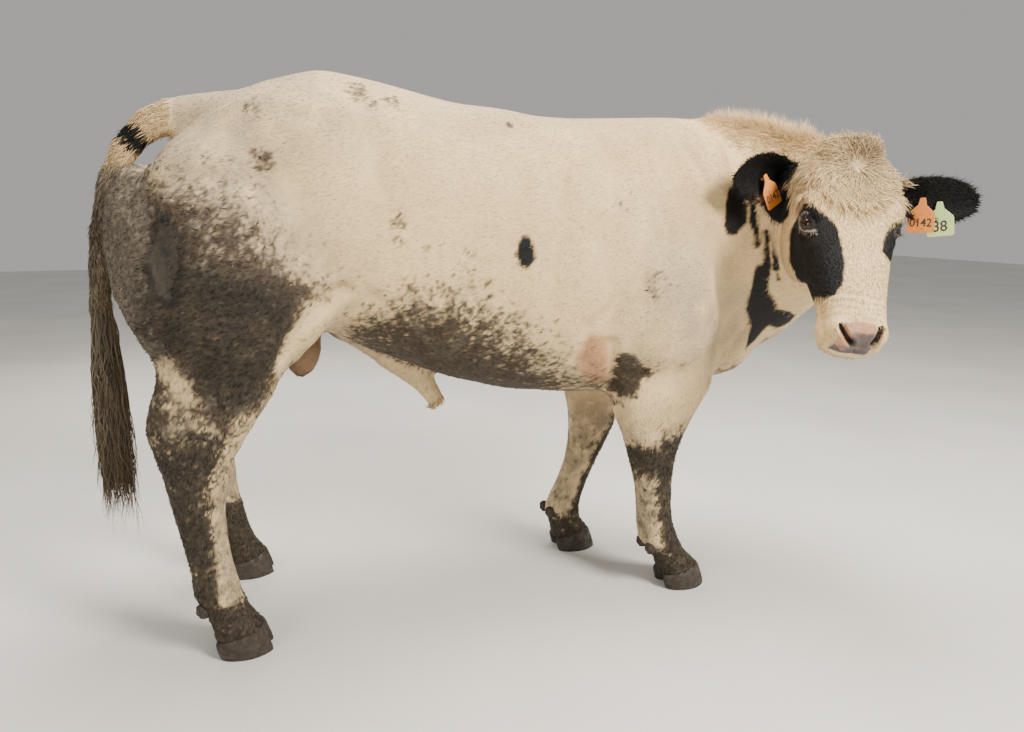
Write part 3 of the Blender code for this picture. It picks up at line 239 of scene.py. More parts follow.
FORE_LEG_LEFT = [
    Leg(0.760, 0.330, 0.180, 0.160, 0.098),
    Leg(0.660, 0.325, 0.175, 0.160, 0.098),
    Leg(0.585, 0.312, 0.168, 0.140, 0.088),
    Leg(0.518, 0.298, 0.160, 0.112, 0.076),
    Leg(0.451, 0.288, 0.152, 0.088, 0.064),
    Leg(0.395, 0.280, 0.146, 0.078, 0.060),
    Leg(0.340, 0.262, 0.140, 0.064, 0.057),
    Leg(0.285, 0.240, 0.134, 0.055, 0.049),
    Leg(0.230, 0.214, 0.128, 0.052, 0.045),
    Leg(0.175, 0.186, 0.122, 0.054, 0.048),
    Leg(0.135, 0.170, 0.118, 0.058, 0.054),
    Leg(0.100, 0.176, 0.115, 0.053, 0.052),
    Leg(0.066, 0.192, 0.112, 0.060, 0.058),
    Leg(0.035, 0.198, 0.112, 0.062, 0.058),
    Leg(0.010, 0.198, 0.112, 0.062, 0.058),
]
LEGS = {
    "hind_right": (HIND_LEG, RIGHT),
    "hind_left": (HIND_LEG, LEFT),
    "fore_right": (FORE_LEG_RIGHT, RIGHT),
    "fore_left": (FORE_LEG_LEFT, LEFT),
}

CORONET_HEIGHT = 0.056
CORONET_SLOPE = 0.24
CLAW_HALF_LENGTH = 0.062
CLAW_HALF_WIDTH = 0.0285
CLAW_CLEFT = 0.0045
# How far round a foot the skin is tucked in, over what height, by what share, and how deep it stands
FOOT_REACH = 0.12
FOOT_BLEND = 0.010
FOOT_TUCK = 0.16
FOOT_OVERLAP = 0.004
DEWCLAW_HEIGHT = 0.128
DEWCLAW_RADII = (0.016, 0.014, 0.020)

HeadSection = namedtuple("HeadSection", "x half_width top bottom jaw_share")
HEAD = [
    HeadSection(-0.024, 0.060, -0.050, -0.150, 0.9),
    HeadSection(-0.010, 0.090, -0.028, -0.190, 0.9),
    HeadSection(0.016, 0.110, -0.008, -0.222, 0.90),
    HeadSection(0.066, 0.122, 0.004, -0.240, 0.92),
    HeadSection(0.120, 0.123, 0.007, -0.250, 0.92),
    HeadSection(0.180, 0.119, 0.005, -0.250, 0.90),
    HeadSection(0.240, 0.108, 0.000, -0.238, 0.88),
    HeadSection(0.300, 0.093, -0.002, -0.218, 0.86),
    HeadSection(0.360, 0.081, -0.002, -0.192, 0.88),
    HeadSection(0.420, 0.072, -0.003, -0.170, 0.92),
    HeadSection(0.470, 0.070, -0.006, -0.155, 0.92),
    HeadSection(0.502, 0.066, -0.014, -0.139, 0.90),
    HeadSection(0.522, 0.057, -0.030, -0.122, 0.86),
    HeadSection(0.533, 0.034, -0.048, -0.100, 0.84),
]
HEAD_SQUARENESS = 2.5
HEAD_WIDEST_AT = 0.70
HEAD_MUSCLES = {
    "cheek": Muscle((0.165, 0.070, -0.155), (0.130, 0.060, 0.098), (0, 22, 0)),
    "brow": Muscle((0.174, 0.092, -0.028), (0.050, 0.030, 0.028), (0, 0, -14)),
    "cheekbone": Muscle((0.255, 0.078, -0.078), (0.100, 0.026, 0.034), (0, 4, -16)),
    "nostril_wing": Muscle((0.494, 0.045, -0.046), (0.036, 0.027, 0.034), (0, 20, -8)),
    "upper_lip": Muscle((0.474, 0.045, -0.086), (0.054, 0.034, 0.026), (0, 0, 4)),
    "poll_knob": Muscle((0.004, 0.018, -0.020), (0.046, 0.060, 0.032), (0, 0, 0)),
    "lower_lip": Muscle((0.484, 0.026, -0.130), (0.036, 0.038, 0.019), (0, 0, 0)),
    "ear_root": Muscle((0.040, 0.100, -0.092), (0.042, 0.036, 0.040), (0, 0, 0)),
}

EAR_PLACES = {
    "right": Vector((0.022, -0.116, -0.112)),
    "left": Vector((0.069, 0.123, -0.088)),
}
EAR_LENGTH = 0.230
EAR_SUNK = 0.012  # how deep the ear's root stands in the head
EAR_FREE_FROM = 0.12  # the share of its length from which an ear stands free of the head
EAR_THICKNESS = 0.0080
EAR_ARC_POINTS = 11
EAR_RINGS = 22
EarStation = namedtuple("EarStation", "share half_width cup")
EAR = [
    EarStation(0.00, 0.026, 0.030),
    EarStation(0.14, 0.040, 0.036),
    EarStation(0.30, 0.053, 0.036),
    EarStation(0.48, 0.060, 0.031),
    EarStation(0.66, 0.059, 0.024),
    EarStation(0.82, 0.049, 0.016),
    EarStation(0.93, 0.030, 0.009),
    EarStation(1.00, 0.010, 0.004),
]
EAR_POSES = {
    "right": (Vector((-0.935, -0.270, -0.040)), Vector((0.0, -0.93, -0.30))),
    "left": (Vector((0.920, -0.320, -0.130)), Vector((-0.42, -0.84, -0.34))),
}

TAIL = [
    ((-0.700, 0.0, 1.330), 0.034),
    ((-0.790, 0.0, 1.318), 0.041),
    ((-0.862, 0.0, 1.302), 0.041),
    ((-0.930, 0.0, 1.270), 0.039),
    ((-0.985, 0.0, 1.213), 0.036),
    ((-1.030, 0.0, 1.125), 0.030),
    ((-1.056, 0.0, 1.035), 0.026),
    ((-1.071, 0.0, 0.945), 0.025),
    ((-1.079, 0.0, 0.850), 0.025),
    ((-1.080, 0.0, 0.760), 0.023),
    ((-1.083, 0.0, 0.660), 0.018),
    ((-1.087, 0.0, 0.560), 0.012),
]


def finished(made):
    mesh = bpy.data.meshes.new("shape")
    made.to_mesh(mesh)
    made.free()
    return mesh


def power_curve(value, squareness):
    return math.copysign(abs(value) ** (2 / squareness), value)


def closed_loft(rings):
    """One closed mesh through rings of equally many points, each a list of vectors."""
    made = bmesh.new()
    loops = [[made.verts.new(point) for point in ring] for ring in rings]
    for lower, upper in zip(loops, loops[1:]):
        for i, corner in enumerate(lower):
            after = (i + 1) % len(lower)
            made.faces.new((corner, lower[after], upper[after], upper[i]))
    made.faces.new(list(reversed(loops[0])))
    made.faces.new(loops[-1])
    bmesh.ops.recalc_face_normals(made, faces=made.faces)
    return finished(made)


def ring_about(middle, across, raised, radius, sides):
    """A circle of points about a place, in the plane of two directions."""
    turns = [2 * math.pi * k / sides for k in range(sides)]
    return [
        middle + across * (radius * math.cos(turn)) + raised * (radius * math.sin(turn))
        for turn in turns
    ]


def tube(stations, sides=20):
    """A closed tube along places in a vertical plane, each with its own radius."""
    places = [Vector(place) for place, _ in stations]
    across = Vector((0, 1, 0))
    rings = []
    for i, (_, radius) in enumerate(stations):
        along = places[min(i + 1, len(places) - 1)] - places[max(i - 1, 0)]
        rings.append(ring_about(places[i], across, across.cross(along).normalized(), radius, sides))
    return closed_loft(rings)


def ellipsoid(muscle, detail=4):
    made = bmesh.new()
    roll, pitch, yaw = (math.radians(angle) for angle in muscle.turn)
    turn = Matrix.Rotation(yaw, 4, "Z") @ Matrix.Rotation(pitch, 4, "Y") @ Matrix.Rotation(roll, 4, "X")
    matrix = Matrix.Translation(muscle.place) @ turn @ Matrix.Diagonal((*muscle.radii, 1))
    bmesh.ops.create_icosphere(made, subdivisions=detail, radius=1, matrix=matrix)
    return finished(made)


def mirrored(muscle, side, shift=0.0):
    """The same muscle on one side of the body, moved sideways by shift."""
    x, y, z = muscle.place
    roll, pitch, yaw = muscle.turn
    return Muscle((x, side * y + shift, z), muscle.radii, (side * roll, pitch, side * yaw))


def sided(vector, side):
    return Vector((vector[0], side * vector[1], vector[2]))


def front_shift(x):
    """How far the midline lies to the side at x: none behind the ribs, all of it at the shoulder."""
    share = np.clip((x + 0.1) / 0.4, 0.0, 1.0)
    return FRONT_SHIFT * share * share * (3 - 2 * share)


def egg_ring(section, widest_at, squareness, place_of):
    """A ring round a section that is widest at a share of its height, each corner set by place_of."""
    middle = section.bottom + widest_at * (section.top - section.bottom)
    ring = []
    for i in range(RING_POINTS):
        angle = 2 * math.pi * i / RING_POINTS
        across = power_curve(math.cos(angle), squareness)
        height = power_curve(math.sin(angle), squareness)
        reach = section.top - middle if height > 0 else middle - section.bottom
        ring.append(Vector((section.x, place_of(across, height), middle + reach * height)))
    return ring


def trunk():
    return closed_loft([
        egg_ring(s, WIDEST_AT, s.squareness, lambda across, _, s=s: front_shift(s.x) + s.half_width * across)
        for s in TRUNK
    ])


def neck():
    """The neck's rings are narrower at the crest and the throat than half way up."""
    rings = []
    for b in NECK:
        heading = math.radians(b.heading)
        side = Vector((-math.sin(heading), math.cos(heading), 0))
        ring = []
        for i in range(RING_POINTS):
            angle = 2 * math.pi * i / RING_POINTS
            height = math.sin(angle)
            reach = b.rise if height > 0 else b.drop
            across = math.cos(angle) * (1 - 0.12 * height * height)
            ring.append(Vector((b.x, b.y, b.z + reach * height)) + side * (b.half_width * across))
        rings.append(ring)
    return closed_loft(rings)


def leg(stations, side):
    """One leg, lofted down its stations."""
    rings = []
    for s in stations:
        ring = []
        for i in range(RING_POINTS // 2):
            angle = 4 * math.pi * i / RING_POINTS
            along = s.half_depth * power_curve(math.cos(angle), 2.2)
            across = s.half_width * power_curve(math.sin(angle), 2.2)
            ring.append(Vector((s.x + along, side * s.y + across, s.z)))
        rings.append(ring)
    return closed_loft(rings)


def head_matrix():
    turn = Matrix.Rotation(HEAD_YAW, 4, "Z") @ Matrix.Rotation(HEAD_PITCH, 4, "Y")
    return Matrix.Translation(POLL) @ turn @ Matrix.Rotation(HEAD_ROLL, 4, "X")


def head_turn():
    return np.array(head_matrix().to_3x3())


def in_head(points):
    """Places of the body in the head's own frame."""
    return (points - np.array(POLL)) @ head_turn()


def from_head(places):
    """Places of the head's own frame in the body's."""
    return places @ head_turn().T + np.array(POLL)


def skull():
    """The skull narrows from its widest level down to the jaw."""
    return closed_loft([
        egg_ring(
            s, HEAD_WIDEST_AT, HEAD_SQUARENESS,
            lambda across, height, s=s: s.half_width * (1 + min(height, 0) * (1 - s.jaw_share)) * across,
        )
        for s in HEAD
    ])


def eye_axes(side):
    """The way an eye looks, the way its corners lie and the way its upper lid rises."""
    axis = sided(EYE_AXIS, side).normalized()
    corners = EYE_CORNER_AXIS - axis * EYE_CORNER_AXIS.dot(axis)
    corners.normalize()
    rise = axis.cross(corners) * side
    if rise.x > 0:
        rise.negate()
    return axis, corners, rise


def from_eye(points, side):
    """How far each point lies out of, along and above the middle of an eye."""
    away = points - np.array(sided(EYE, side))
    return (away @ np.array(way) for way in eye_axes(side))


def lid(side, rise, sides=12, steps=17):
    """One eyelid: a rounded rim that arches over the eyeball from corner to corner."""
    axis, corners, up = eye_axes(side)
    centre = sided(EYE, side)
    reach = EYE_RADIUS + 0.002
    rings = []
    for k in range(steps):
        turn = math.pi * k / (steps - 1)
        along = LID_HALF_LENGTH * math.cos(turn)
        above = rise * math.sin(turn)
        out = math.sqrt(max(reach * reach - along * along - above * above, 0))
        middle = centre + corners * along + up * above + axis * out
        outward = (middle - centre).normalized()
        tangent = up * math.cos(turn) * rise - corners * math.sin(turn) * LID_HALF_LENGTH
        tangent.normalize()
        radius = LID_RADIUS * (0.6 + 0.4 * math.sin(turn))
        rings.append(ring_about(middle, outward, tangent.cross(outward), radius, sides))
    return closed_loft(rings)


def head_shapes():
    """Every solid that makes up the head, in the head's own frame."""
    shapes = [skull()]
    for side in SIDES.values():
        shapes += [ellipsoid(mirrored(muscle, side)) for muscle in HEAD_MUSCLES.values()]
        shapes += [lid(side, UPPER_LID_RISE), lid(side, LOWER_LID_DROP)]
    return shapes


def body_shapes():
    """Every solid that makes up the trunk, neck, tail and legs, in place."""
    shapes = [trunk(), neck(), tube(TAIL), tube(SHEATH)]
    for name, muscle in MUSCLES.items():
        shift = FRONT_SHIFT if name in FRONT_MUSCLES else 0.0
        shapes += [ellipsoid(mirrored(muscle, side, shift)) for side in SIDES.values()]
    shapes += [leg(stations, side) for stations, side in LEGS.values()]
    for side in SIDES.values():
        shapes += [ellipsoid(mirrored(muscle, side)) for muscle in SCROTUM.values()]
    return shapes


def moved(meshes, matrix):
    for mesh in meshes:
        mesh.transform(matrix)
    return meshes


def joined(meshes):
    made = bmesh.new()
    for mesh in meshes:
        made.from_mesh(mesh)
    return finished(made)


def smooth(mesh):
    mesh.polygons.foreach_set("use_smooth", [True] * len(mesh.polygons))


def as_arrays(vectors):
    return (np.array(vector) for vector in vectors)


def with_modifier(mesh, kind, **settings):
    """The mesh that one modifier gives, as plain data."""
    holder = bpy.data.objects.new("holder", mesh)
    bpy.context.scene.collection.objects.link(holder)
    modifier = holder.modifiers.new("step", kind)
    for name, value in settings.items():
        setattr(modifier, name, value)
    graph = bpy.context.evaluated_depsgraph_get()
    result = bpy.data.meshes.new_from_object(holder.evaluated_get(graph))
    bpy.data.objects.remove(holder, do_unlink=True)
    return result


def corners_of(mesh):
    points = np.empty(3 * len(mesh.vertices))
    mesh.vertices.foreach_get("co", points)
    return points.reshape(-1, 3)


def put_corners(mesh, points):
    mesh.vertices.foreach_set("co", points.ravel())
    mesh.update()


def normals_of(mesh):
    normals = np.empty(3 * len(mesh.vertices))
    mesh.vertex_normals.foreach_get("vector", normals)
    return normals.reshape(-1, 3)


def ease(mesh, rounds, share):
    """Evens the skin out; share says how strongly at each corner, from 0 to 1."""
    points = corners_of(mesh)
    edges = np.empty(2 * len(mesh.edges), dtype=np.int64)
    mesh.edges.foreach_get("vertices", edges)
    first, second = edges.reshape(-1, 2).T
    count = np.bincount(edges, minlength=len(points))[:, None]
    strength = 0.5 * share(points)[:, None]
    for _ in range(rounds):
        total = np.stack([
            np.bincount(first, points[second, axis], len(points))
            + np.bincount(second, points[first, axis], len(points))
            for axis in range(3)
        ], axis=1)
        points = points + strength * (total / count - points)
    put_corners(mesh, points)


def from_line(points, path):
    """The distance of each point from a line through the places of path."""
    nearest = np.full(len(points), np.inf)
    for start, end in zip(np.array(path[:-1]), np.array(path[1:])):
        span = end - start
        along = np.clip((points - start) @ span / (span @ span), 0, 1)
        gaps = np.linalg.norm(points - start - along[:, None] * span, axis=1)
        nearest = np.minimum(nearest, gaps)
    return nearest


def bump(distance, width):
    return np.exp(-np.square(distance / width))


def soft_step(value, low, high):
    share = np.clip((value - low) / (high - low), 0.0, 1.0)
    return share * share * (3 - 2 * share)


# Factors that scatter the cells of the noise
HASH_FACTORS = (73856093, 19349663, 83492791)
HASH_SEED_FACTOR = 40503
HASH_MIXER = 1274126177


def hashed(cells, seed):
    """A number from -1 to 1 for each whole-numbered cell, the same every time."""
    mixed = seed * HASH_SEED_FACTOR
    for axis, factor in enumerate(HASH_FACTORS):
        mixed = mixed ^ (cells[..., axis] * factor)
    mixed = (mixed ^ (mixed >> 13)) * HASH_MIXER
    mixed ^= mixed >> 16
    return (mixed & 0xFFFF) / 32767.5 - 1.0


def noise(points, scale, seed):
    """Smooth noise from -1 to 1 whose lumps are about scale across."""
    place = points / scale + 7.31 * seed
    cell = np.floor(place).astype(np.int64)
    part = place - cell
    part = part * part * (3 - 2 * part)
    total = np.zeros(len(points))
    for corner in np.ndindex(2, 2, 2):
        weight = np.prod(np.where(np.array(corner) == 1, part, 1 - part), axis=1)
        total += weight * hashed(cell + np.array(corner), seed)
    return total


def fractal(points, scale, seed, octaves=4, roughness=0.55):
    total, weight, norm = np.zeros(len(points)), 1.0, 0.0
    for k in range(octaves):
        total += weight * noise(points, scale / 2 ** k, seed + 11 * k)
        norm += weight
        weight *= roughness
    return total / norm


def furrow(mesh, creases):
    """Sinks the skin along the creases between the muscles, on both sides."""
    points = corners_of(mesh)
    normals = normals_of(mesh)
    depth = np.zeros(len(points))
    for crease in creases:
        for side in SIDES.values():
            path = [(x, side * y + front_shift(x), z) for x, y, z in crease.path]
            closeness = from_line(points, path) / crease.width
            depth += crease.depth * np.exp(-closeness * closeness)
    put_corners(mesh, points - normals * depth[:, None])


def body_share(points):
    """The trunk is eased fully, the slender legs, the tail and the scrotum hardly at all."""
    x, _, z = points.T
    height = np.clip((z - 0.50) / 0.25, 0.06, 1)
    tail = np.clip((x + 0.92) / 0.10, 0.05, 1)
    behind = (z > 1.15) | (x < -1.04)
    scrotum = from_line(points, [(-0.612, 0, 0.70), (-0.612, 0, 0.76)]) < 0.10
    sheath = from_line(points, [(-0.36, 0, 0.66), SHEATH[-1][0]]) < 0.06
    share = np.where(behind, np.minimum(height, tail), height)
    share = np.where(scrotum, np.minimum(share, 0.25), share)
    return np.where(sheath, np.minimum(share, 0.05), share)


# Finer folds of the skin on the body, as the furrows are given
FOLDS = [
    Crease([
        (0.350, 0.221, 1.220), (0.383, 0.257, 1.151), (0.410, 0.265, 1.102), (0.483, 0.233, 1.001),
    ], 0.006, 0.013),
    Crease([
        (0.198, 0.311, 0.895), (0.132, 0.307, 0.832), (0.075, 0.306, 0.779), (0.062, 0.271, 0.692),
    ], 0.013, 0.022),
    Crease([(0.158, 0.312, 0.886), (0.120, 0.302, 0.797), (0.080, 0.304, 0.776)], 0.005, 0.010),
    Crease([(0.135, 0.289, 0.739), (0.153, 0.256, 0.677), (0.193, 0.174, 0.594)], 0.014, 0.014),
    Crease([
        (0.581, 0.193, 0.754), (0.551, 0.194, 0.722), (0.519, 0.182, 0.666), (0.463, 0.216, 0.609),
    ], 0.008, 0.012),
    Crease([
        (0.402, 0.299, 0.782), (0.338, 0.305, 0.735), (0.322, 0.278, 0.674), (0.336, 0.248, 0.608),
    ], 0.009, 0.030),
    Crease([(0.500, 0.230, 1.060), (0.470, 0.260, 0.930), (0.430, 0.280, 0.830)], 0.006, 0.035),
    Crease([
        (-0.517, 0.262, 0.889), (-0.576, 0.285, 0.867), (-0.619, 0.297, 0.834), (-0.666, 0.283, 0.740),
    ], 0.010, 0.014),
    Crease([(-0.455, 0.263, 0.865), (-0.520, 0.235, 0.800), (-0.600, 0.230, 0.745)], 0.012, 0.022),
    Crease([
        (-0.700, 0.062, 1.335), (-0.800, 0.062, 1.300), (-0.870, 0.060, 1.260), (-0.915, 0.055, 1.205),
    ], 0.016, 0.013),
    Crease([(-0.925, 0.000, 1.205), (-0.950, 0.000, 1.170)], 0.020, 0.020),
    Crease([(-0.830, 0.310, 0.800), (-0.860, 0.300, 0.720), (-0.900, 0.270, 0.640)], 0.008, 0.020),
    Crease([(-0.800, 0.260, 0.620), (-0.860, 0.260, 0.580), (-0.930, 0.250, 0.600)], 0.004, 0.014),
    Crease([(-0.460, 0.240, 1.330), (-0.440, 0.270, 1.230), (-0.430, 0.280, 1.120)], 0.006, 0.030),
    Crease([(-0.100, 0.290, 1.150), (-0.120, 0.300, 1.000), (-0.140, 0.300, 0.860)], 0.004, 0.030),
    Crease([(0.000, 0.300, 1.130), (-0.010, 0.310, 1.000), (-0.030, 0.310, 0.840)], 0.004, 0.026),
]


def body_skin():
    """The trunk, neck, head and legs fused into one skin, eased and furrowed."""
    head = moved(head_shapes(), head_matrix())
    fused = with_modifier(joined(body_shapes() + head), "REMESH", mode="VOXEL", voxel_size=BODY_VOXEL)
    ease(fused, BODY_EASING, body_share)
    furrow(fused, CREASES)
    furrow(fused, FOLDS)
    ease(fused, LAST_EASING, lambda points: np.full(len(points), 0.5))
    tuck_feet(fused)
    put_corners(fused, make_room_for_ear(corners_of(fused)))
    return fused


NOSE_WRINKLES = (0.418, 0.434, 0.449, 0.463)  # how far down the face each wrinkle crosses the bridge
# Folds round the eyes: how far out, in lid heights and with the side's sign, and how deep
LID_FOLDS = ((1.72, 0.0022), (2.35, 0.0016), (-1.75, 0.0017), (-2.5, 0.0012))


def mouth_and_nose(points):
    """How far the skin rises at the lips and sinks at the mouth, the nose's groove and its wrinkles."""
    x, y, z = points.T
    drop = z - (MOUTH_Z + 0.10 * np.clip(MOUTH_CORNER_X + 0.06 - x, 0, 1))
    front = np.clip((x - MOUTH_CORNER_X) / 0.02, 0, 1)
    shift = front * (0.0026 * bump(np.abs(drop) - 0.012, 0.007) - 0.0085 * bump(drop, 0.0036))
    shift -= 0.003 * bump(y, 0.016) * bump(x - 0.53, 0.03) * bump(z + 0.045, 0.03)
    shift -= 0.0022 * bump(y, 0.0022) * soft_step(x, 0.505, 0.525) * soft_step(z, -0.112, -0.095)
    for k, place in enumerate(NOSE_WRINKLES):
        wave = 0.004 * np.sin(40 * y + k)
        shift -= 0.0007 * bump(x - place - wave, 0.0034) * soft_step(z, -0.09, -0.02)
    return shift


def lid_folds(points, side):
    """How far the skin sinks in the folds over and under an eye."""
    out, along, above = from_eye(points, side)
    near = (out > -0.01) & (np.abs(along) < 0.05)
    sunk = np.zeros(len(points))
    for turn, depth in LID_FOLDS:
        reach = (UPPER_LID_RISE if turn > 0 else -LOWER_LID_DROP) * abs(turn)
        ring = np.sqrt(np.square(along / (LID_HALF_LENGTH * 1.35)) + np.square(above / reach))
        sunk += np.where(near & (above * turn > 0), depth * bump((ring - 1) * reach, 0.0026), 0)
    return sunk


def shape_face(mesh):
    """Opens the eyes and nostrils, draws the mouth and folds the skin, in the head's frame."""
    points = corners_of(mesh)
    shift = mouth_and_nose(points) - sum(lid_folds(points, side) for side in SIDES.values())
    points = points + normals_of(mesh) * shift[:, None]
    for side in SIDES.values():
        slit = from_line(points, NOSTRILS[side])
        hollow = NOSTRIL_DEPTH * bump(slit, 0.0060) - NOSTRIL_RIM * bump(slit - 0.0120, 0.0045)
        points = points + hollow[:, None] * NOSTRIL_WAY
        points = open_eye(points, side)
    put_corners(mesh, points)


def open_eye(points, side):
    """Sinks the skin between the lids, so that the eyeball shows there."""
    out, along, above = from_eye(points, side)
    lift = np.where(above > 0, UPPER_LID_RISE, -LOWER_LID_DROP) - LID_RADIUS * 0.5
    inside = np.square(along / (LID_HALF_LENGTH - LID_RADIUS * 0.5)) + np.square(above / lift)
    open_here = (inside < 1) & (out > 0)
    sunk = np.where(open_here, np.minimum(out, EYE_FLOOR) - out, 0)
    return points + sunk[:, None] * np.array(eye_axes(side)[0])


def eye_distance(points):
    eyes = [np.array(sided(EYE, side)) for side in SIDES.values()]
    return np.min([np.linalg.norm(points - eye, axis=1) for eye in eyes], axis=0)


def ear_axes(name):
    """Where an ear starts, the way it points, the way across it and the way its cup opens."""
    point, opening = EAR_POSES[name]
    point = point.normalized()
    opening = (opening - point * opening.dot(point)).normalized()
    return head_matrix() @ EAR_PLACES[name], point, point.cross(opening), opening


def ear_form(share):
    """Half the ear's width and the depth of its cup at a share of its length."""
    shares = [station.share for station in EAR]
    half_width = np.interp(share, shares, [station.half_width for station in EAR])
    return half_width, np.interp(share, shares, [station.cup for station in EAR])


def ear(name):
    """A broad ear: rings of a thin curved wall, deep at the root and shallow at the tip."""
    root, point, across, opening = ear_axes(name)
    rings = []
    for k in range(EAR_RINGS):
        share = k / (EAR_RINGS - 1)
        half_width, cup = ear_form(share)
        middle = root + point * (share * EAR_LENGTH - EAR_SUNK)
        wall = EAR_THICKNESS * (1 - 0.30 * share)
        back, front = [], []
        for j in range(EAR_ARC_POINTS):
            t = 2 * j / (EAR_ARC_POINTS - 1) - 1
            base = middle + across * (half_width * t) - opening * (cup * (1 - t * t))
            half = wall / 2 * (1 - 0.35 * t * t)
            back.append(base - opening * half)
            front.append(base + opening * half)
        rings.append(back + front[::-1])
    return closed_loft(rings)


def ear_places(points, name):
    """Each place as its share along an ear, its share across and its depth behind the rim."""
    root, point, across, opening = (np.array(v) for v in ear_axes(name))
    away = points - root
    share = (away @ point + EAR_SUNK) / EAR_LENGTH
    half_width, cup = ear_form(np.clip(share, 0, 1))
    aside = away @ across / half_width
    depth = away @ opening + cup * (1 - np.square(np.clip(aside, -1, 1)))
    near = (share > -0.02) & (share < 1.08) & (np.abs(aside) < 1.25) & (np.abs(depth) < 0.016)
    return share, aside, depth, near


def make_room_for_ear(points):
    """Moves the side of the neck to behind the right ear, so that the ear's hollow stays open."""
    share, aside, depth, _ = ear_places(points, "right")
    opening = np.array(ear_axes("right")[3])
    lengthwise = soft_step(share, -0.02, 0.15) * soft_step(1.20 - share, 0, 0.16)
    cover = lengthwise * soft_step(1.40 - np.abs(aside), 0, 0.30)
    excess = np.where(depth < 0.11, np.clip(depth + 0.014, 0, None), 0)
    return points - (cover * excess)[:, None] * opening


def easing_of_head(points):
    """The lids and the ears keep their shape."""
    share = 1 - 0.75 * bump(eye_distance(points), 0.03)
    for name in SIDES:
        along, _, _, near = ear_places(from_head(points), name)
        share = np.where(near & (along > 0.16), np.minimum(share, 0.10), share)
    return share


def head_skin():
    """The head with its ears and the end of the neck."""
    nape = with_modifier(neck(), "REMESH", mode="VOXEL", voxel_size=BODY_VOXEL)
    put_corners(nape, make_room_for_ear(corners_of(nape)))
    others = moved([nape] + [ear(name) for name in SIDES], head_matrix().inverted())
    fused = with_modifier(joined(head_shapes() + others), "REMESH", mode="VOXEL", voxel_size=HEAD_VOXEL)
    opened(fused, Plane(head_matrix().inverted() @ Vector(SEAM.place), head_side_normal()))
    ease(fused, HEAD_EASING, easing_of_head)
    shape_face(fused)
    ease(fused, 1, lambda points: np.full(len(points), 0.4))
    fused.transform(head_matrix())
    return fused


def head_side_normal():
    return head_matrix().to_3x3().inverted() @ Vector(SEAM.normal).normalized()


def opened(mesh, plane):
    """Cuts away what lies behind a plane and leaves the rim open, without loose scraps."""
    made = bmesh.new()
    made.from_mesh(mesh)
    geometry = made.verts[:] + made.edges[:] + made.faces[:]
    bmesh.ops.bisect_plane(
        made, geom=geometry, dist=1e-5, plane_co=plane.place, plane_no=plane.normal, clear_inner=True
    )
    keep_largest(made)
    made.to_mesh(mesh)
    made.free()


def keep_largest(made):
    """Deletes every loose body of the mesh but the one with the most corners."""
    unseen = set(made.verts)
    bodies = []
    while unseen:
        body, edge = set(), [unseen.pop()]
        while edge:
            corner = edge.pop()
            body.add(corner)
            for link in corner.link_edges:
                other = link.other_vert(corner)
                if other in unseen:
                    unseen.discard(other)
                    edge.append(other)
        bodies.append(body)
    bodies.sort(key=len)
    for body in bodies[:-1]:
        bmesh.ops.delete(made, geom=list(body), context="VERTS")


def tree_of(mesh):
    made = bmesh.new()
    made.from_mesh(mesh)
    tree = BVHTree.FromBMesh(made)
    made.free()
    return tree


def tuck_feet(mesh):
    """Draws the skin of each foot in at the coronet, inside its claws."""
    points = corners_of(mesh)
    for stations, side in LEGS.values():
        foot = np.array((stations[-1].x, side * stations[-1].y))
        away = points[:, :2] - foot
        below = CORONET_HEIGHT + CORONET_SLOPE * away[:, 0] - points[:, 2]
        mine = (np.linalg.norm(away, axis=1) < FOOT_REACH) & (below > 0)
        share = np.where(mine, np.clip(below / FOOT_BLEND, 0, 1), 0)
        points[:, :2] -= away * (FOOT_TUCK * share)[:, None]
        points[:, 2] += np.where(mine, below - np.minimum(below, FOOT_OVERLAP), 0)
    put_corners(mesh, points)


def drawn_to(body, head, normal):
    """Draws the head's skin in the neck onto the body's, more the nearer it is to the seam."""
    tree = tree_of(body)
    points = corners_of(head)
    depth = (points - np.array(SEAM.place)) @ np.array(normal)
    weight = (1 - soft_step(depth, SEAM_GAP, SEAM_BLEND)) * ~is_ear(points)
    for i in np.nonzero(weight > 0)[0]:
        nearest = tree.find_nearest(Vector(points[i]), SEAM_REACH)[0]
        if nearest is not None:
            points[i] += weight[i] * (np.array(nearest) - points[i])
    put_corners(head, points)


def whole_skin():
    """The body's skin and the finer skin of the head, bridged in the neck into one."""
    normal = Vector(SEAM.normal).normalized()
    body = body_skin()
    head = head_skin()
    drawn_to(body, head, normal)
    opened(head, Plane(Vector(SEAM.place) + normal * SEAM_GAP, normal))
    opened(body, Plane(SEAM.place, -normal))
    made = bmesh.new()
    made.from_mesh(body)
    made.from_mesh(head)
    rims = [edge for edge in made.edges if edge.is_boundary]
    bmesh.ops.bridge_loops(made, edges=rims)
    bmesh.ops.recalc_face_normals(made, faces=made.faces)
    skin = finished(made)

    def near_seam(places):
        gap = (places - np.array(SEAM.place)) @ np.array(normal) - SEAM_GAP / 2
        return bump(gap, SEAM_EASED) * (places[:, 0] > NECK_FROM_X) * ~is_ear(places)

    ease(skin, SEAM_ROUNDS, near_seam)
    return skin


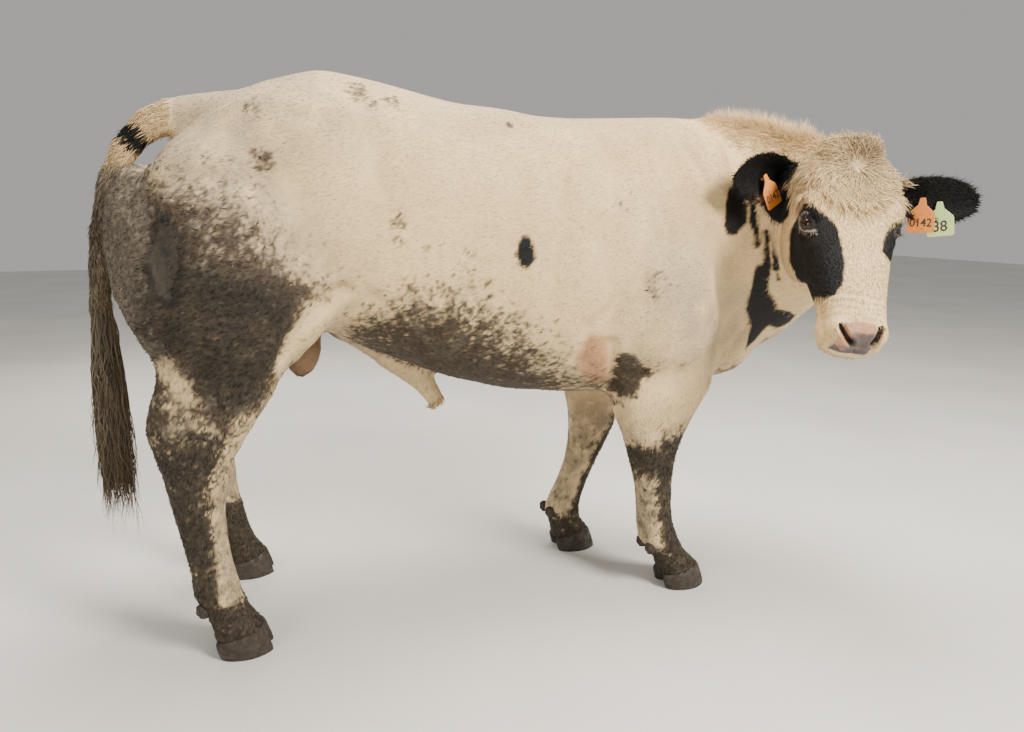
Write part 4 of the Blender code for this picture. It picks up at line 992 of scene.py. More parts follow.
def inside_outline(u, v, outline):
    """Signed distance of each place from a closed outline, negative inside it."""
    nearest = np.full(len(u), np.inf)
    inside = np.zeros(len(u), dtype=bool)
    for (u0, v0), (u1, v1) in zip(outline, outline[1:] + outline[:1]):
        du, dv = u1 - u0, v1 - v0
        along = np.clip(((u - u0) * du + (v - v0) * dv) / (du * du + dv * dv), 0, 1)
        nearest = np.minimum(nearest, np.hypot(u - u0 - along * du, v - v0 - along * dv))
        crosses = (v0 > v) != (v1 > v)
        with np.errstate(divide="ignore", invalid="ignore"):
            inside ^= crosses & (u < u0 + (v - v0) * du / (dv if dv else 1e-12))
    return np.where(inside, -nearest, nearest)


# Colours of the coat, the skin and the dirt, and of the painted shade
WHITE = np.array((0.755, 0.560, 0.300))
CREAM = np.array((0.640, 0.468, 0.252))
POLL_CREAM = np.array((0.58, 0.44, 0.255))
PEACH = np.array((0.660, 0.405, 0.202))
TAN = np.array((0.500, 0.289, 0.126))
BROWN = np.array((0.15, 0.095, 0.050))
BLACK = np.array((0.0055, 0.0055, 0.0062))
BROW_PINK = np.array((0.34, 0.22, 0.17))
PINK = np.array((0.52, 0.24, 0.16))
PAD_PINK = np.array((0.50, 0.27, 0.17))
PAD_GREY = np.array((0.13, 0.115, 0.125))
STAIN = np.array((0.46, 0.28, 0.11))
SCROTUM_RED = np.array((0.085, 0.038, 0.024))
ELBOW_PEACH = np.array((0.43, 0.22, 0.115))
MUD_DARK = np.array((0.0100, 0.0085, 0.0070))
MUD_GREY = np.array((0.085, 0.072, 0.056))
MUD_BROWN = np.array((0.045, 0.031, 0.020))
# Dust's colour, also laid on as painted shade under the body and under the jaw
DUST_AND_SHADE = np.array((0.24, 0.200, 0.150))
# Grey of thin dust and of painted shade on the rump, the shoulder, the breast and the back
SMEAR_AND_SHADE_GREY = np.array((0.29, 0.245, 0.180))
LIP_BROWN = np.array((0.36, 0.25, 0.20))
# Painted shade of the mouth's crease and of the nostrils' hollows
MOUTH_CREASE_SHADE = np.array((0.03, 0.018, 0.015))
NOSTRIL_HOLLOW_SHADE = np.array((0.012, 0.008, 0.008))
LID_DARK = np.array((0.028, 0.022, 0.022))
LID_PALE = np.array((0.52, 0.47, 0.43))

# Black marks on the body, as outlines on the flank (x, z) and as strokes between two places
FLANK_SPOT = [
    (-0.103, 1.012), (-0.084, 1.010), (-0.072, 0.985), (-0.071, 0.955), (-0.088, 0.930), (-0.108, 0.938),
    (-0.119, 0.965), (-0.113, 0.995),
]
NECK_OVAL = [
    (0.470, 1.125), (0.500, 1.137), (0.528, 1.128), (0.540, 1.085), (0.537, 1.035), (0.515, 1.004),
    (0.485, 1.008), (0.464, 1.040), (0.459, 1.085),
]
NECK_PATCH = [
    (0.575, 0.925), (0.602, 0.922), (0.622, 0.850), (0.660, 0.803), (0.729, 0.780), (0.726, 0.752),
    (0.690, 0.738), (0.655, 0.748), (0.628, 0.705), (0.590, 0.690), (0.596, 0.750), (0.566, 0.800),
    (0.570, 0.860),
]
NECK_STROKES = [
    ((0.548, -0.263, 1.110), (0.570, -0.278, 0.980), 0.009),
    ((0.619, -0.320, 1.075), (0.612, -0.305, 1.010), 0.017),
    ((0.590, -0.284, 1.010), (0.606, -0.279, 0.900), 0.009),
    ((0.609, -0.296, 1.000), (0.627, -0.287, 0.915), 0.010),
    ((0.625, -0.287, 0.915), (0.640, -0.283, 0.885), 0.005),
]
# Each outline marks the coat only where y is below a limit, so that it stays on the right side
BODY_MARKS = ((FLANK_SPOT, -0.20), (NECK_OVAL, -0.15), (NECK_PATCH, -0.13))
THIGH_MARK = [
    (-0.880, 1.055), (-0.858, 1.020), (-0.858, 0.960), (-0.885, 0.880), (-0.910, 0.900), (-0.916, 0.975),
]
ELBOW_MARK = [
    (0.148, 0.716), (0.191, 0.712), (0.232, 0.675), (0.264, 0.663), (0.252, 0.615), (0.225, 0.570),
    (0.185, 0.580),
]
ELBOW_BARE = [(0.072, 0.763), (0.126, 0.757), (0.145, 0.680), (0.170, 0.610), (0.085, 0.635), (0.050, 0.685)]
# Where the mud lies on the right hind quarter, and where it is thickest (x, z)
MUD_AREA = [
    (-1.080, 1.180), (-0.979, 1.155), (-0.931, 1.138), (-0.842, 1.125), (-0.790, 1.112), (-0.739, 1.090),
    (-0.694, 1.055), (-0.672, 1.010), (-0.630, 0.970), (-0.596, 0.931), (-0.563, 0.905), (-0.572, 0.872),
    (-0.596, 0.850), (-0.634, 0.792), (-0.662, 0.713), (-0.690, 0.650), (-0.720, 0.600), (-0.760, 0.560),
    (-0.790, 0.500), (-0.800, 0.430), (-1.080, 0.430),
]
MUD_CORE = [
    (-0.930, 0.960), (-0.900, 1.050), (-0.858, 1.045), (-0.845, 1.000), (-0.835, 0.960), (-0.800, 0.945),
    (-0.750, 0.935), (-0.689, 0.920), (-0.625, 0.885), (-0.625, 0.820), (-0.650, 0.757), (-0.680, 0.690),
    (-0.730, 0.630), (-0.800, 0.620), (-0.845, 0.690), (-0.869, 0.756), (-0.915, 0.773), (-0.955, 0.812),
    (-0.950, 0.889),
]
BELLY_EDGE = [
    (-0.56, 0.80), (-0.47, 0.885), (-0.39, 0.900), (-0.30, 0.930), (-0.20, 0.930), (-0.11, 0.870),
    (-0.01, 0.785), (0.07, 0.705), (0.13, 0.665), (0.22, 0.640),
]
# Single smudges: place on the flank, reach and strength
SMUDGES = [
    (-0.674, 1.174, 0.040, 0.62), (-0.736, 1.168, 0.045, 0.36), (-0.700, 1.050, 0.045, 0.46),
    (-0.694, 1.290, 0.032, 0.52), (-0.462, 1.338, 0.036, 0.62), (-0.430, 1.313, 0.020, 0.50),
    (-0.383, 1.318, 0.028, 0.58), (-0.100, 1.274, 0.010, 0.90), (-0.387, 1.045, 0.030, 0.50),
    (-0.392, 1.000, 0.030, 0.50), (-0.330, 0.975, 0.055, 0.36), (-0.222, 0.970, 0.022, 0.50),
    (-0.230, 0.930, 0.022, 0.52), (0.230, 0.880, 0.055, 0.42), (0.150, 1.060, 0.080, 0.26),
]
# The pale fold of skin between the thigh and the flank
THIGH_FOLD = [
    (-0.455, 0.263, 0.872), (-0.530, 0.255, 0.850), (-0.580, 0.280, 0.832), (-0.622, 0.288, 0.795),
    (-0.646, 0.286, 0.757), (-0.664, 0.265, 0.708),
]
# The black skin that the right ear stands on (x, z)
EAR_BASE = [
    (0.550, 1.190), (0.600, 1.203), (0.640, 1.207), (0.668, 1.190), (0.672, 1.150), (0.650, 1.090),
    (0.628, 1.050), (0.616, 1.034), (0.598, 1.046), (0.578, 1.075), (0.550, 1.110),
]
# Face marks (x down the face, s round it from its midline)
RIGHT_EYE_PATCH = [
    (0.176, 0.118), (0.190, 0.094), (0.226, 0.060), (0.275, 0.043), (0.333, 0.041), (0.393, 0.050),
    (0.414, 0.076), (0.417, 0.118), (0.372, 0.187), (0.340, 0.262), (0.254, 0.271), (0.215, 0.253),
    (0.183, 0.233), (0.172, 0.200), (0.168, 0.160),
]
LEFT_EYE_PATCH = [
    (0.190, 0.125), (0.205, 0.105), (0.231, 0.086), (0.263, 0.068), (0.292, 0.068), (0.305, 0.104),
    (0.300, 0.160), (0.270, 0.205), (0.215, 0.200), (0.188, 0.160),
]
WHORL = (0.054, 0.008)
NOSTRIL_WING = [(0.503, -0.053, -0.024), (0.524, -0.039, -0.046), (0.528, -0.026, -0.060)]
EYE_STREAK = [(0.222, -0.104, -0.058), (0.268, -0.082, -0.036)]
# Lines through parts of the body that have colours of their own
SCROTUM_LINE = [(-0.612, 0, 0.68), (-0.612, 0, 0.745)]
SHEATH_LINE = [(-0.50, 0, 0.76), (-0.40, 0, 0.69), (-0.252, 0, 0.54)]
HOCK_LINE = [(-0.905, 0, 0.728), (-0.868, 0, 0.660)]
TAIL_CLEFT = [(-0.92, 0, 1.215), (-0.945, 0.14, 1.235)]


def over(colour, layer, amount):
    """One colour laid over others, or over one other, by an amount at each place."""
    return colour + (layer - colour) * np.clip(amount, 0, 1)[:, None]


def of_head(points):
    """How far each place belongs to the head, from 0 to 1, from the skull's own sections."""
    x, y, z = in_head(points).T
    along = [s.x for s in HEAD]
    half = np.interp(x, along, [s.half_width for s in HEAD]) + 0.035
    top, bottom = (np.interp(x, along, [getattr(s, edge) for s in HEAD]) for edge in ("top", "bottom"))
    off = np.hypot(y / half, (z - (top + bottom) / 2) / ((top - bottom) / 2 + 0.035))
    return soft_step(1.12 - off, 0, 0.12) * soft_step(x, -0.07, -0.02)


Coat = namedtuple("Coat", "colour mud bare length")
Mottle = namedtuple("Mottle", "wide middle fine ragged")


def mottle_at(points):
    """The noises that all markings share, and how far their edges stray, in metres."""
    wide, fine = fractal(points, 0.16, 3), fractal(points, 0.012, 5, 3)
    middle = fractal(points, 0.045, 9)
    return Mottle(wide, middle, fine, 0.006 * middle + 0.004 * fine)


def coat_of(points, normals):
    """The coat at places of the skin: its colour, mud, bare wet skin and how long the hair is."""
    head = of_head(points)
    mottle = mottle_at(points)
    colour = clean_coat(points, mottle)
    # Skin that faces down, off the head, takes the dust colour: dust and painted shade on the undersides
    below = soft_step(-normals[:, 2], 0.2, 0.9) * (1 - head)
    colour = over(colour, DUST_AND_SHADE, 0.35 * below)
    colour = body_marks(colour, points, mottle.ragged)
    colour, mud = body_dirt(colour, points, normals, mottle)
    colour, mud = tail_marks(colour, mud, points, mottle.middle)
    face_colour, bare = face_marks(points, mottle)
    colour = over(colour, face_colour, head)
    colour = ear_marks(colour, points, mottle)
    # The scrotum's red-brown skin, darkened partly as painted shade under the body
    scrotum = soft_step(0.105 - from_line(points, SCROTUM_LINE), 0, 0.02) * (points[:, 2] < 0.80)
    colour = over(colour, SCROTUM_RED, scrotum * 0.85)
    return Coat(colour, mud * (1 - head), bare * head, 1 - 0.8 * scrotum)


def clean_coat(points, mottle):
    """White and cream, warmer over the ribs and the neck, and dulled on the rump, the shoulder, the breast
    and the top of the back by thin dust and painted shade.
    """
    x, _, z = points.T
    colour = over(WHITE, CREAM, 0.35 + 0.5 * mottle.wide)
    patchy = soft_step(0.5 + 0.5 * mottle.wide + 0.3 * mottle.middle, 0.25, 0.9)
    colour = over(colour, PEACH, 0.75 * bump(x - 0.22, 0.42) * bump(z - 1.13, 0.17) * patchy)
    streak = soft_step(fractal(points * (3.2, 1, 0.9), 0.20, 21), 0.22, 0.6)
    colour = over(colour, TAN, 0.42 * streak * bump(x - 0.25, 0.5) * bump(z - 1.15, 0.2))
    # Painted shade together with thin dust greys the rump, the shoulder, the breast and the top of the back
    rump = 0.66 * soft_step(-x, 0.40, 0.80) * soft_step(z, 0.80, 1.0)
    shoulder = 0.62 * bump(np.hypot(x - 0.31, (z - 0.86) * 0.8), 0.16)
    breast = 0.52 * bump(np.hypot(x - 0.50, z - 0.76), 0.14)
    back = 0.34 * soft_step(z, 1.15, 1.30) * (x < 0.4)
    smear_and_shade = np.clip(rump + shoulder + breast + back, 0, 0.7)
    return over(colour, SMEAR_AND_SHADE_GREY, smear_and_shade * soft_step(mottle.middle + mottle.wide, -1.2, 0.2))


def body_marks(colour, points, ragged):
    """The black marks of the flank, neck and thigh, and the bare patch behind the elbow."""
    x, y, z = points.T
    black = np.zeros(len(points))
    for outline, limit in BODY_MARKS:
        gap = inside_outline(x, z, outline) + ragged
        black = np.maximum(black, soft_step(-gap, -0.004, 0.004) * (y < limit))
    for start, end, radius in NECK_STROKES:
        gap = from_line(points, [start, end]) - radius + 1.2 * ragged
        black = np.maximum(black, soft_step(-gap, -0.004, 0.004))
    thigh = inside_outline(x, z, THIGH_MARK) + 1.2 * ragged
    black = np.maximum(black, soft_step(-thigh, -0.018, -0.010) * (y < -0.2))
    bare = inside_outline(x, z, ELBOW_BARE) + ragged
    colour = over(colour, ELBOW_PEACH, 0.9 * soft_step(-bare, -0.012, 0.012) * (y < -0.1))
    return over(colour, BLACK, black)


def leg_axis(points):
    """How far each low place lies behind the middle of its own leg, in half depths of the leg."""
    x, y, z = points.T
    behind = np.zeros(len(points))
    for name, (stations, side) in LEGS.items():
        fore = name.startswith("fore")
        mine = ((x > -0.25) == fore) & ((y * side > 0) | (fore & (side * (y - FRONT_SHIFT * 0.4) > 0)))
        heights = [s.z for s in stations][::-1]
        middle = np.interp(z, heights, [s.x for s in stations][::-1])
        depth = np.interp(z, heights, [s.half_depth for s in stations][::-1])
        behind = np.where(mine, (middle - x) / depth, behind)
    return behind


def hind_mud(points, ragged):
    """How likely mud is on the hind quarters, how much of it is a thin smear, and where it is deepest."""
    x, y, z = points.T
    outer = soft_step(np.abs(y), 0.05, 0.13)
    area = inside_outline(x, z, MUD_AREA) + ragged
    core = inside_outline(x, z, MUD_CORE) + ragged
    halo = soft_step(-area, -0.20, 0.01) * (x < -0.42)
    deep = soft_step(-core, -0.04, 0.03)
    share = 0.38 * halo + 0.28 * soft_step(-area, -0.02, 0.07) + 0.40 * deep
    upper = soft_step(z, 0.70, 0.85) * soft_step(1.215 - z, 0, 0.03)
    share = share + 0.24 * soft_step(-x, 0.86, 0.94) * upper
    smear = 0.36 * soft_step(-area, -0.16, 0.0) * (x < -0.42) + 0.50 * soft_step(-area, -0.01, 0.06)
    return share * outer, smear * outer, deep * outer


def belly_mud(points):
    """How likely mud is under the flank: dots above, a brown crust below."""
    x, _, z = points.T
    drop = np.interp(x, *zip(*BELLY_EDGE)) - z
    inside = soft_step(x, -0.58, -0.52) * soft_step(0.24 - x, 0, 0.05) * soft_step(z, 0.50, 0.55)
    patch = 0.22 * bump(np.hypot(x + 0.35, z - 0.76), 0.09)
    return inside * np.clip(0.26 + 2.7 * drop + patch, 0, 0.97) * (drop > -0.03)


def leg_mud(points):
    """How likely mud is on each leg: the right hind one keeps a cleaner strip down its front."""
    x, y, z = points.T
    behind = leg_axis(points)
    right = y < 0
    edge = np.interp(z, (0.18, 0.30, 0.55), (-0.16, -0.46, -0.62))
    hind_right = 0.26 + 0.62 * soft_step(behind, edge - 0.30, edge + 0.34)
    hind_left = 0.24 + 0.60 * soft_step(behind, 0.0, 0.6)
    hind = np.where(right, hind_right, hind_left)
    hind = np.maximum(hind, 0.97 * soft_step(np.where(right, 0.160, 0.26) - z, -0.04, 0.06))
    fore_right = 0.36 + 0.52 * soft_step(-behind, -0.60, 0.20)
    fore_right = np.maximum(fore_right, 0.92 * bump(z - 0.395, 0.070))
    fore_left = 0.30 + 0.54 * soft_step(-behind, -0.05, 0.6)
    fore = np.where(right, fore_right, fore_left) * soft_step(np.where(right, 0.54, 0.48) - z, -0.02, 0.14)
    fore = np.maximum(fore, 0.94 * soft_step(0.14 - z, -0.04, 0.06))
    return np.where(x < -0.25, hind * soft_step(0.60 - z, 0, 0.06), fore)


def clean_places(points):
    """The fold before the thigh, the sheath and the hock stay clean."""
    x, y, z = points.T
    mirror = np.stack([x, np.abs(y), z], 1)
    fold = 0.90 * bump(from_line(mirror, THIGH_FOLD), 0.018)
    sheath = 0.95 * bump(from_line(points, SHEATH_LINE), 0.060)
    flat = np.stack([x, 0 * y, z], 1)
    hock = 0.60 * bump(from_line(flat, HOCK_LINE), 0.024) * (y < -0.2)
    return np.maximum(np.maximum(fold, sheath), hock)


def elbow_mud(points, middle):
    """How much of the dark mark before the elbow covers each place."""
    x, y, z = points.T
    return soft_step(0.018 * middle - inside_outline(x, z, ELBOW_MARK), -0.022, 0.022) * (y < -0.12)


def smudged(share, points):
    """Mud's likelihood with the single smudges of the flanks added."""
    x, y, z = points.T
    for place_x, place_z, reach, strength in SMUDGES:
        smudge = strength * bump(np.hypot(x - place_x, z - place_z), reach) * (np.abs(y) > 0.1)
        share = np.maximum(share, smudge)
    return share


def body_dirt(colour, points, normals, mottle):
    """Mud caked on the hind quarters, splashed on the legs and crusted under the belly; low skin that faces
    down is given mud's colour, partly as painted shade.
    """
    x, y, z = points.T
    middle = mottle.middle
    speck = fractal(points, 0.013, 37, 3)
    hind, smear, deep = hind_mud(points, 0.030 * middle + 0.022 * speck)
    legs, belly, elbow = leg_mud(points), belly_mud(points), elbow_mud(points, middle)
    # Low skin that faces down is painted with mud, partly as painted shade under the body
    under = soft_step(-normals[:, 2], 0.25, 0.9) * soft_step(0.80 - z, 0, 0.1) * (z > 0.5)
    share = smudged(np.maximum(hind, np.maximum(belly, legs)), points)
    share = np.maximum(share, np.maximum(0.95 * elbow, 0.55 * under))
    clean = clean_places(points)
    mark = np.where(inside_outline(x, z, THIGH_MARK) < 0, 0.75, 0) * (y < -0.2)
    share = share * (1 - clean) * (1 - mark)
    # A thin smear dulls the coat round the thick mud
    low = 0.72 * soft_step(0.58 - z, 0, 0.16)
    thin = np.maximum(np.maximum(smear, low), 0.62 * soft_step(belly, 0.15, 0.8)) * (1 - clean)
    thin = thin * soft_step(middle + 0.8 * speck, -1.1, 0.2)
    smeared = over(DUST_AND_SHADE, MUD_GREY * 1.3, soft_step(middle + 0.5 * speck, -0.4, 0.5))
    colour = over(colour, smeared, thin * (1 - mark))
    grit = noise(points, 0.0048, 43)
    mud = soft_step(share + 0.34 * speck + 0.26 * grit + 0.12 * middle - 0.5, -0.14, 0.18) * (share > 0.02)
    # The buttock, where the mud is painted paler, partly as light from behind
    buttock = soft_step(-x, 0.90, 0.94) * soft_step(z, 0.74, 0.86)
    dark = np.maximum(0.85 * soft_step(legs, 0, 0.5), np.maximum(0.85 * elbow, 0.55 * belly))
    hue = mud_hue(points, mottle, np.maximum(deep, dark), buttock)
    return over(colour, hue, 0.95 * mud), np.maximum(mud, 0.35 * thin)


def mud_hue(points, mottle, dark, buttock):
    """The mud's colour: brown and grey, darker where it is deep, with pale dry flecks, and paler on the
    buttock, partly as painted light from behind.
    """
    lumps = fractal(points, 0.032, 31)
    hue = over(MUD_BROWN, MUD_GREY, soft_step(lumps + 0.3 * mottle.wide, -0.1, 0.55))
    # Paler grey on the buttock: dried mud and painted light from behind
    hue = over(hue, MUD_GREY * 1.35, 0.7 * buttock)
    hue = over(hue, MUD_DARK, dark * soft_step(mottle.fine + 0.8 * mottle.middle, -1.6, -0.3))
    fleck = soft_step(noise(points, 0.0042, 47), 0.50, 0.78)
    return over(hue, DUST_AND_SHADE, fleck * (0.46 - 0.34 * dark + 0.30 * buttock))


def tail_share(points):
    """How far each place belongs to the tail, from 0 to 1."""
    path = [spot for spot, _ in TAIL[2:]]
    reach = np.where(points[:, 2] > 1.14, 0.054, 0.042)
    return soft_step(reach - from_line(points, path), 0, 0.006) * (points[:, 0] < -0.875)


def tail_marks(colour, mud, points, middle):
    """The dock is cream above, banded black, and dirty below, the dirt greyer higher up partly with painted
    light.
    """
    x, _, z = points.T
    tail = tail_share(points)
    colour = over(colour, CREAM, 0.8 * tail * (z > 1.18))
    along = -0.70 * (x + 0.962) - 0.72 * (z - 1.240) + 0.006 * middle
    colour = over(colour, BLACK, soft_step(0.025 - np.abs(along), 0, 0.006) * tail)
    low = tail * soft_step(1.20 - z + 0.02 * middle, 0, 0.05)
    grit = noise(points, 0.006, 53)
    # Grey higher up, partly painted light from above, and darker brown mud lower down
    hue = over(MUD_GREY * 0.7, DUST_AND_SHADE * 0.75, soft_step(middle + grit, -0.2, 0.7))
    hue = over(hue, MUD_BROWN * 0.7, 0.75 * soft_step(0.86 - z, 0, 0.20))
    colour = over(colour, hue, 0.9 * low)
    cleft = bump(from_line(points, TAIL_CLEFT), 0.026)
    colour = over(colour, PINK * 0.55, 0.85 * cleft * (1 - tail))
    return colour, np.maximum(mud, 0.8 * low)


def face_marks(points, mottle):
    """The face's colours and its bare wet parts."""
    places = in_head(points)
    colour = upper_face(places, mottle)
    colour, black = eye_patches(colour, places, mottle.ragged)
    x, y, z = places.T
    brow = bump(x - 0.158, 0.024) * bump(np.abs(y) - z - 0.158, 0.042) * (y < 0) * (1 - black)
    brow = soft_step(brow, 0.25, 0.6)
    colour = over(colour, BROW_PINK * (1 + 0.5 * mottle.middle)[:, None], 0.85 * brow)
    colour, rims = eye_rims(colour, places)
    colour, muzzle = muzzle_marks(colour, places, mottle, black)
    return colour, np.maximum(np.maximum(rims, 0.7 * brow), muzzle)


def upper_face(places, mottle):
    """The coat of the face: darker brown at the poll's whorl with painted shade, tan on the cheek and painted
    shade under the jaw.
    """
    x, y, z = places.T
    middle, fine = mottle.middle, mottle.fine
    colour = over(WHITE, CREAM, 0.40 + 0.5 * mottle.wide + 0.35 * fine)
    poll = soft_step(0.200 - x, 0, 0.10) * soft_step(z, -0.16, -0.05)
    colour = over(colour, POLL_CREAM, poll * (0.85 + 0.3 * fine))
    # Brown painted shade over the crown, among the poll's locks
    crown = bump(x - 0.022, 0.040) * bump(y - 0.030, 0.070)
    colour = over(colour, BROWN, 0.80 * crown * soft_step(middle + fine, -0.8, 0.5))
    cheek = bump(np.hypot(x - 0.115, (np.abs(y) - z - 0.125) * 0.8), 0.052) * (y < 0)
    colour = over(colour, TAN, 0.40 * cheek)
    # Painted shade under the jaw
    under = soft_step(-z, 0.14, 0.22)
    return over(colour, DUST_AND_SHADE * 1.3, 0.55 * under * soft_step(middle, -0.4, 0.4))


def eye_patches(colour, places, ragged):
    """The black patches round the eyes, ragged at their edges, with a paler streak in the right one."""
    x, y, z = places.T
    s = np.abs(y) - z
    gap = np.where(y < 0, inside_outline(x, s, RIGHT_EYE_PATCH), inside_outline(x, s, LEFT_EYE_PATCH))
    black = soft_step(-(gap + 1.1 * ragged), -0.0035, 0.0035)
    colour = over(colour, BLACK, black)
    return over(colour, DUST_AND_SHADE * 0.4, 0.5 * bump(from_line(places, EYE_STREAK), 0.007) * black), black


def muzzle_marks(colour, places, mottle, black):
    """The muzzle: stained sides, the pad, pale lips, painted shade in the mouth's crease between them and in
    the nostrils.
    """
    x, y, z = places.T
    s = np.abs(y) - z
    side = bump(x - 0.442, 0.034) * soft_step(s, 0.085, 0.12) * soft_step(0.19 - s, 0, 0.05) * (y < 0)
    stained = soft_step(mottle.middle + mottle.fine, -0.7, 0.5) * (1 - black)
    colour = over(colour, STAIN, 0.55 * side * stained)
    colour, pad = pad_marks(colour, places, mottle)
    lip = soft_step(x, 0.478, 0.50) * bump(z + 0.112, 0.016)
    colour = over(colour, LIP_BROWN, 0.6 * lip)
    # Painted shade along the crease of the mouth
    mouth = soft_step(x, 0.42, 0.44) * bump(z - MOUTH_Z, 0.0035)
    colour = over(colour, MOUTH_CREASE_SHADE, 0.9 * mouth)
    # Painted shade in the hollows of the nostrils
    colour = over(colour, NOSTRIL_HOLLOW_SHADE, soft_step(0.0068 - nostril_gap(places), 0, 0.003))
    return colour, np.maximum(pad, 0.7 * lip)


def pad_marks(colour, places, mottle):
    """The nose's bare pad: pink above, grey between and under the nostrils, darkest at its lower edge with
    painted shadow, with a pink wing to the right.
    """
    x, y, z = places.T
    _, middle, fine, ragged = mottle
    beyond = np.where(y < 0, -y - 0.039 - 0.45 * np.clip(x - 0.492, 0, 0.03), y - 0.034)
    pad = soft_step(x + 0.7 * ragged, 0.480, 0.486) * soft_step(0.8 * ragged - beyond, -0.002, 0.004)
    pad = pad * soft_step(z, -0.084, -0.074)
    hue = over(PAD_PINK, STAIN, 0.15 + 0.55 * soft_step(fine + 0.6 * middle, -0.1, 0.7))
    inner = soft_step(0.031 - np.abs(y - 0.009), 0, 0.008)
    grey = soft_step(x + 0.4 * ragged, 0.504, 0.511) * np.maximum(inner, soft_step(-z, 0.042, 0.050))
    hue = over(hue, PAD_GREY * 0.7, grey * (0.92 - 0.35 * soft_step(fine, 0.2, 0.7)))
    # Painted shadow along the pad's lower edge, above the upper lip
    hue = over(hue, PAD_GREY * 0.35, 0.8 * soft_step(-z, 0.052, 0.064))
    hue = over(hue, PAD_GREY * 0.5, 0.5 * soft_step(-fine, 0.25, 0.6))
    colour = over(colour, hue, pad)
    wing = soft_step(bump(from_line(places, NOSTRIL_WING), 0.009), 0.3, 0.7)
    return over(colour, PINK, 0.75 * wing * soft_step(middle, -0.7, 0.2)), pad


def nostril_gap(places):
    """How far each place in the head's frame is from the hollow of the nearer nostril."""
    nearest = np.full(len(places), np.inf)
    for path in NOSTRILS.values():
        for depth in (0.0, 0.009, 0.018):
            nearest = np.minimum(nearest, from_line(places, list(np.array(path) + NOSTRIL_WAY * depth)))
    return nearest


def eye_rims(colour, places):
    """Bare dark lids, with the pale arc that the right eye shows over and under its ball."""
    bare = np.zeros(len(places))
    for side in SIDES.values():
        out, along, above = from_eye(places, side)
        reach = np.where(above > 0, UPPER_LID_RISE, -LOWER_LID_DROP)
        ring = np.sqrt(np.square(along / LID_HALF_LENGTH) + np.square(above / reach))
        rim = soft_step(1.62 - ring, 0, 0.3) * (out > -0.002)
        colour = over(colour, LID_DARK, rim)
        if side == RIGHT:
            outer = -along * np.sign(eye_axes(side)[1].x)
            arc = np.where(above > 0, soft_step(outer, -0.012, 0.0), 0.8 * soft_step(-above, 0.004, 0.010))
            pale = soft_step(bump(ring - 1.85, 0.26), 0.2, 0.6) * arc * (out > -0.016)
            colour = over(colour, LID_PALE, 0.8 * pale)
        bare = np.maximum(bare, 0.8 * rim)
    return colour, bare


def ear_marks(colour, points, mottle):
    """Both ears are black, with some pink along the right one's lower rim."""
    middle, fine = mottle.middle, mottle.fine
    for name in SIDES:
        share, aside, _, near = ear_places(points, name)
        dark = soft_step(share + 0.05 * middle + 0.03 * fine, 0.13, 0.20) * near
        colour = over(colour, BLACK, dark)
        if name == "right":
            base = inside_outline(points[:, 0], points[:, 2], EAR_BASE) + 0.004 * middle + 0.003 * fine
            base = soft_step(-base, -0.003, 0.003) * (points[:, 1] < -0.08)
            base = base * soft_step(points[:, 1] + 0.004 * middle, -0.372, -0.366)
            colour = over(colour, BLACK, base)
            rim = soft_step(-aside, 0.72, 0.95) * soft_step(0.75 - share, 0, 0.3) * near
            colour = over(colour, PINK * 0.7, 0.7 * rim * soft_step(middle, -0.6, 0.2))
    return colour


def hair_lie(points, normals):
    """The way the hair lies: back and down on the body, down the legs, out from the face's whorl."""
    x, _, z = points.T
    count = len(points)
    lie = np.tile((-1.0, 0.0, -0.45), (count, 1))
    low = soft_step(0.78 - z, 0, 0.2)[:, None]
    lie = lie * (1 - low) + np.array((-0.15, 0.0, -1.0)) * low
    neck_share = soft_step(x, 0.45, 0.62)[:, None]
    lie = lie * (1 - neck_share) + np.array((-0.62, 0.50, -0.55)) * neck_share
    tail = is_tail(points)[:, None]
    slope = soft_step(z, 1.0, 1.25)[:, None]
    lie = np.where(tail, np.array((0.0, 0.0, -1.0)) + np.array((-0.9, 0.0, 0.3)) * slope, lie)
    place = in_head(points)
    away = place[:, :2] - np.array(WHORL)
    reach = np.linalg.norm(away, axis=1)[:, None] + 1e-6
    swirl = np.stack([away[:, 0] - 0.5 * away[:, 1], away[:, 1] + 0.5 * away[:, 0]], 1) / reach
    down = soft_step(place[:, 0], 0.12, 0.30)[:, None]
    flat = swirl * (1 - down) + np.array((1.0, 0.0)) * down
    side = soft_step(-place[:, 2], 0.03, 0.12)[:, None]
    head_lie = np.concatenate([flat, np.zeros((count, 1))], 1) * (1 - side) + np.array((0.35, 0, -1.0)) * side
    head = of_head(points)[:, None]
    lie = lie * (1 - head) + (head_lie @ head_turn().T) * head
    for name in SIDES:
        _, point, _, _ = ear_axes(name)
        _, _, _, near = ear_places(points, name)
        lie = np.where(near[:, None], np.array(point), lie)
    lie -= normals * np.sum(lie * normals, axis=1)[:, None]
    return lie / (np.linalg.norm(lie, axis=1)[:, None] + 1e-9)


# Where the hairs are rooted: places, normals and where they lie on the skin's unwrap
Roots = namedtuple("Roots", "places normals unwrap")


BAKE_MAP = "OFBake"
PATCH = 0.003  # how wide a tuft's patch is on the unwrap
UNWRAP_TRIANGLES = 9000


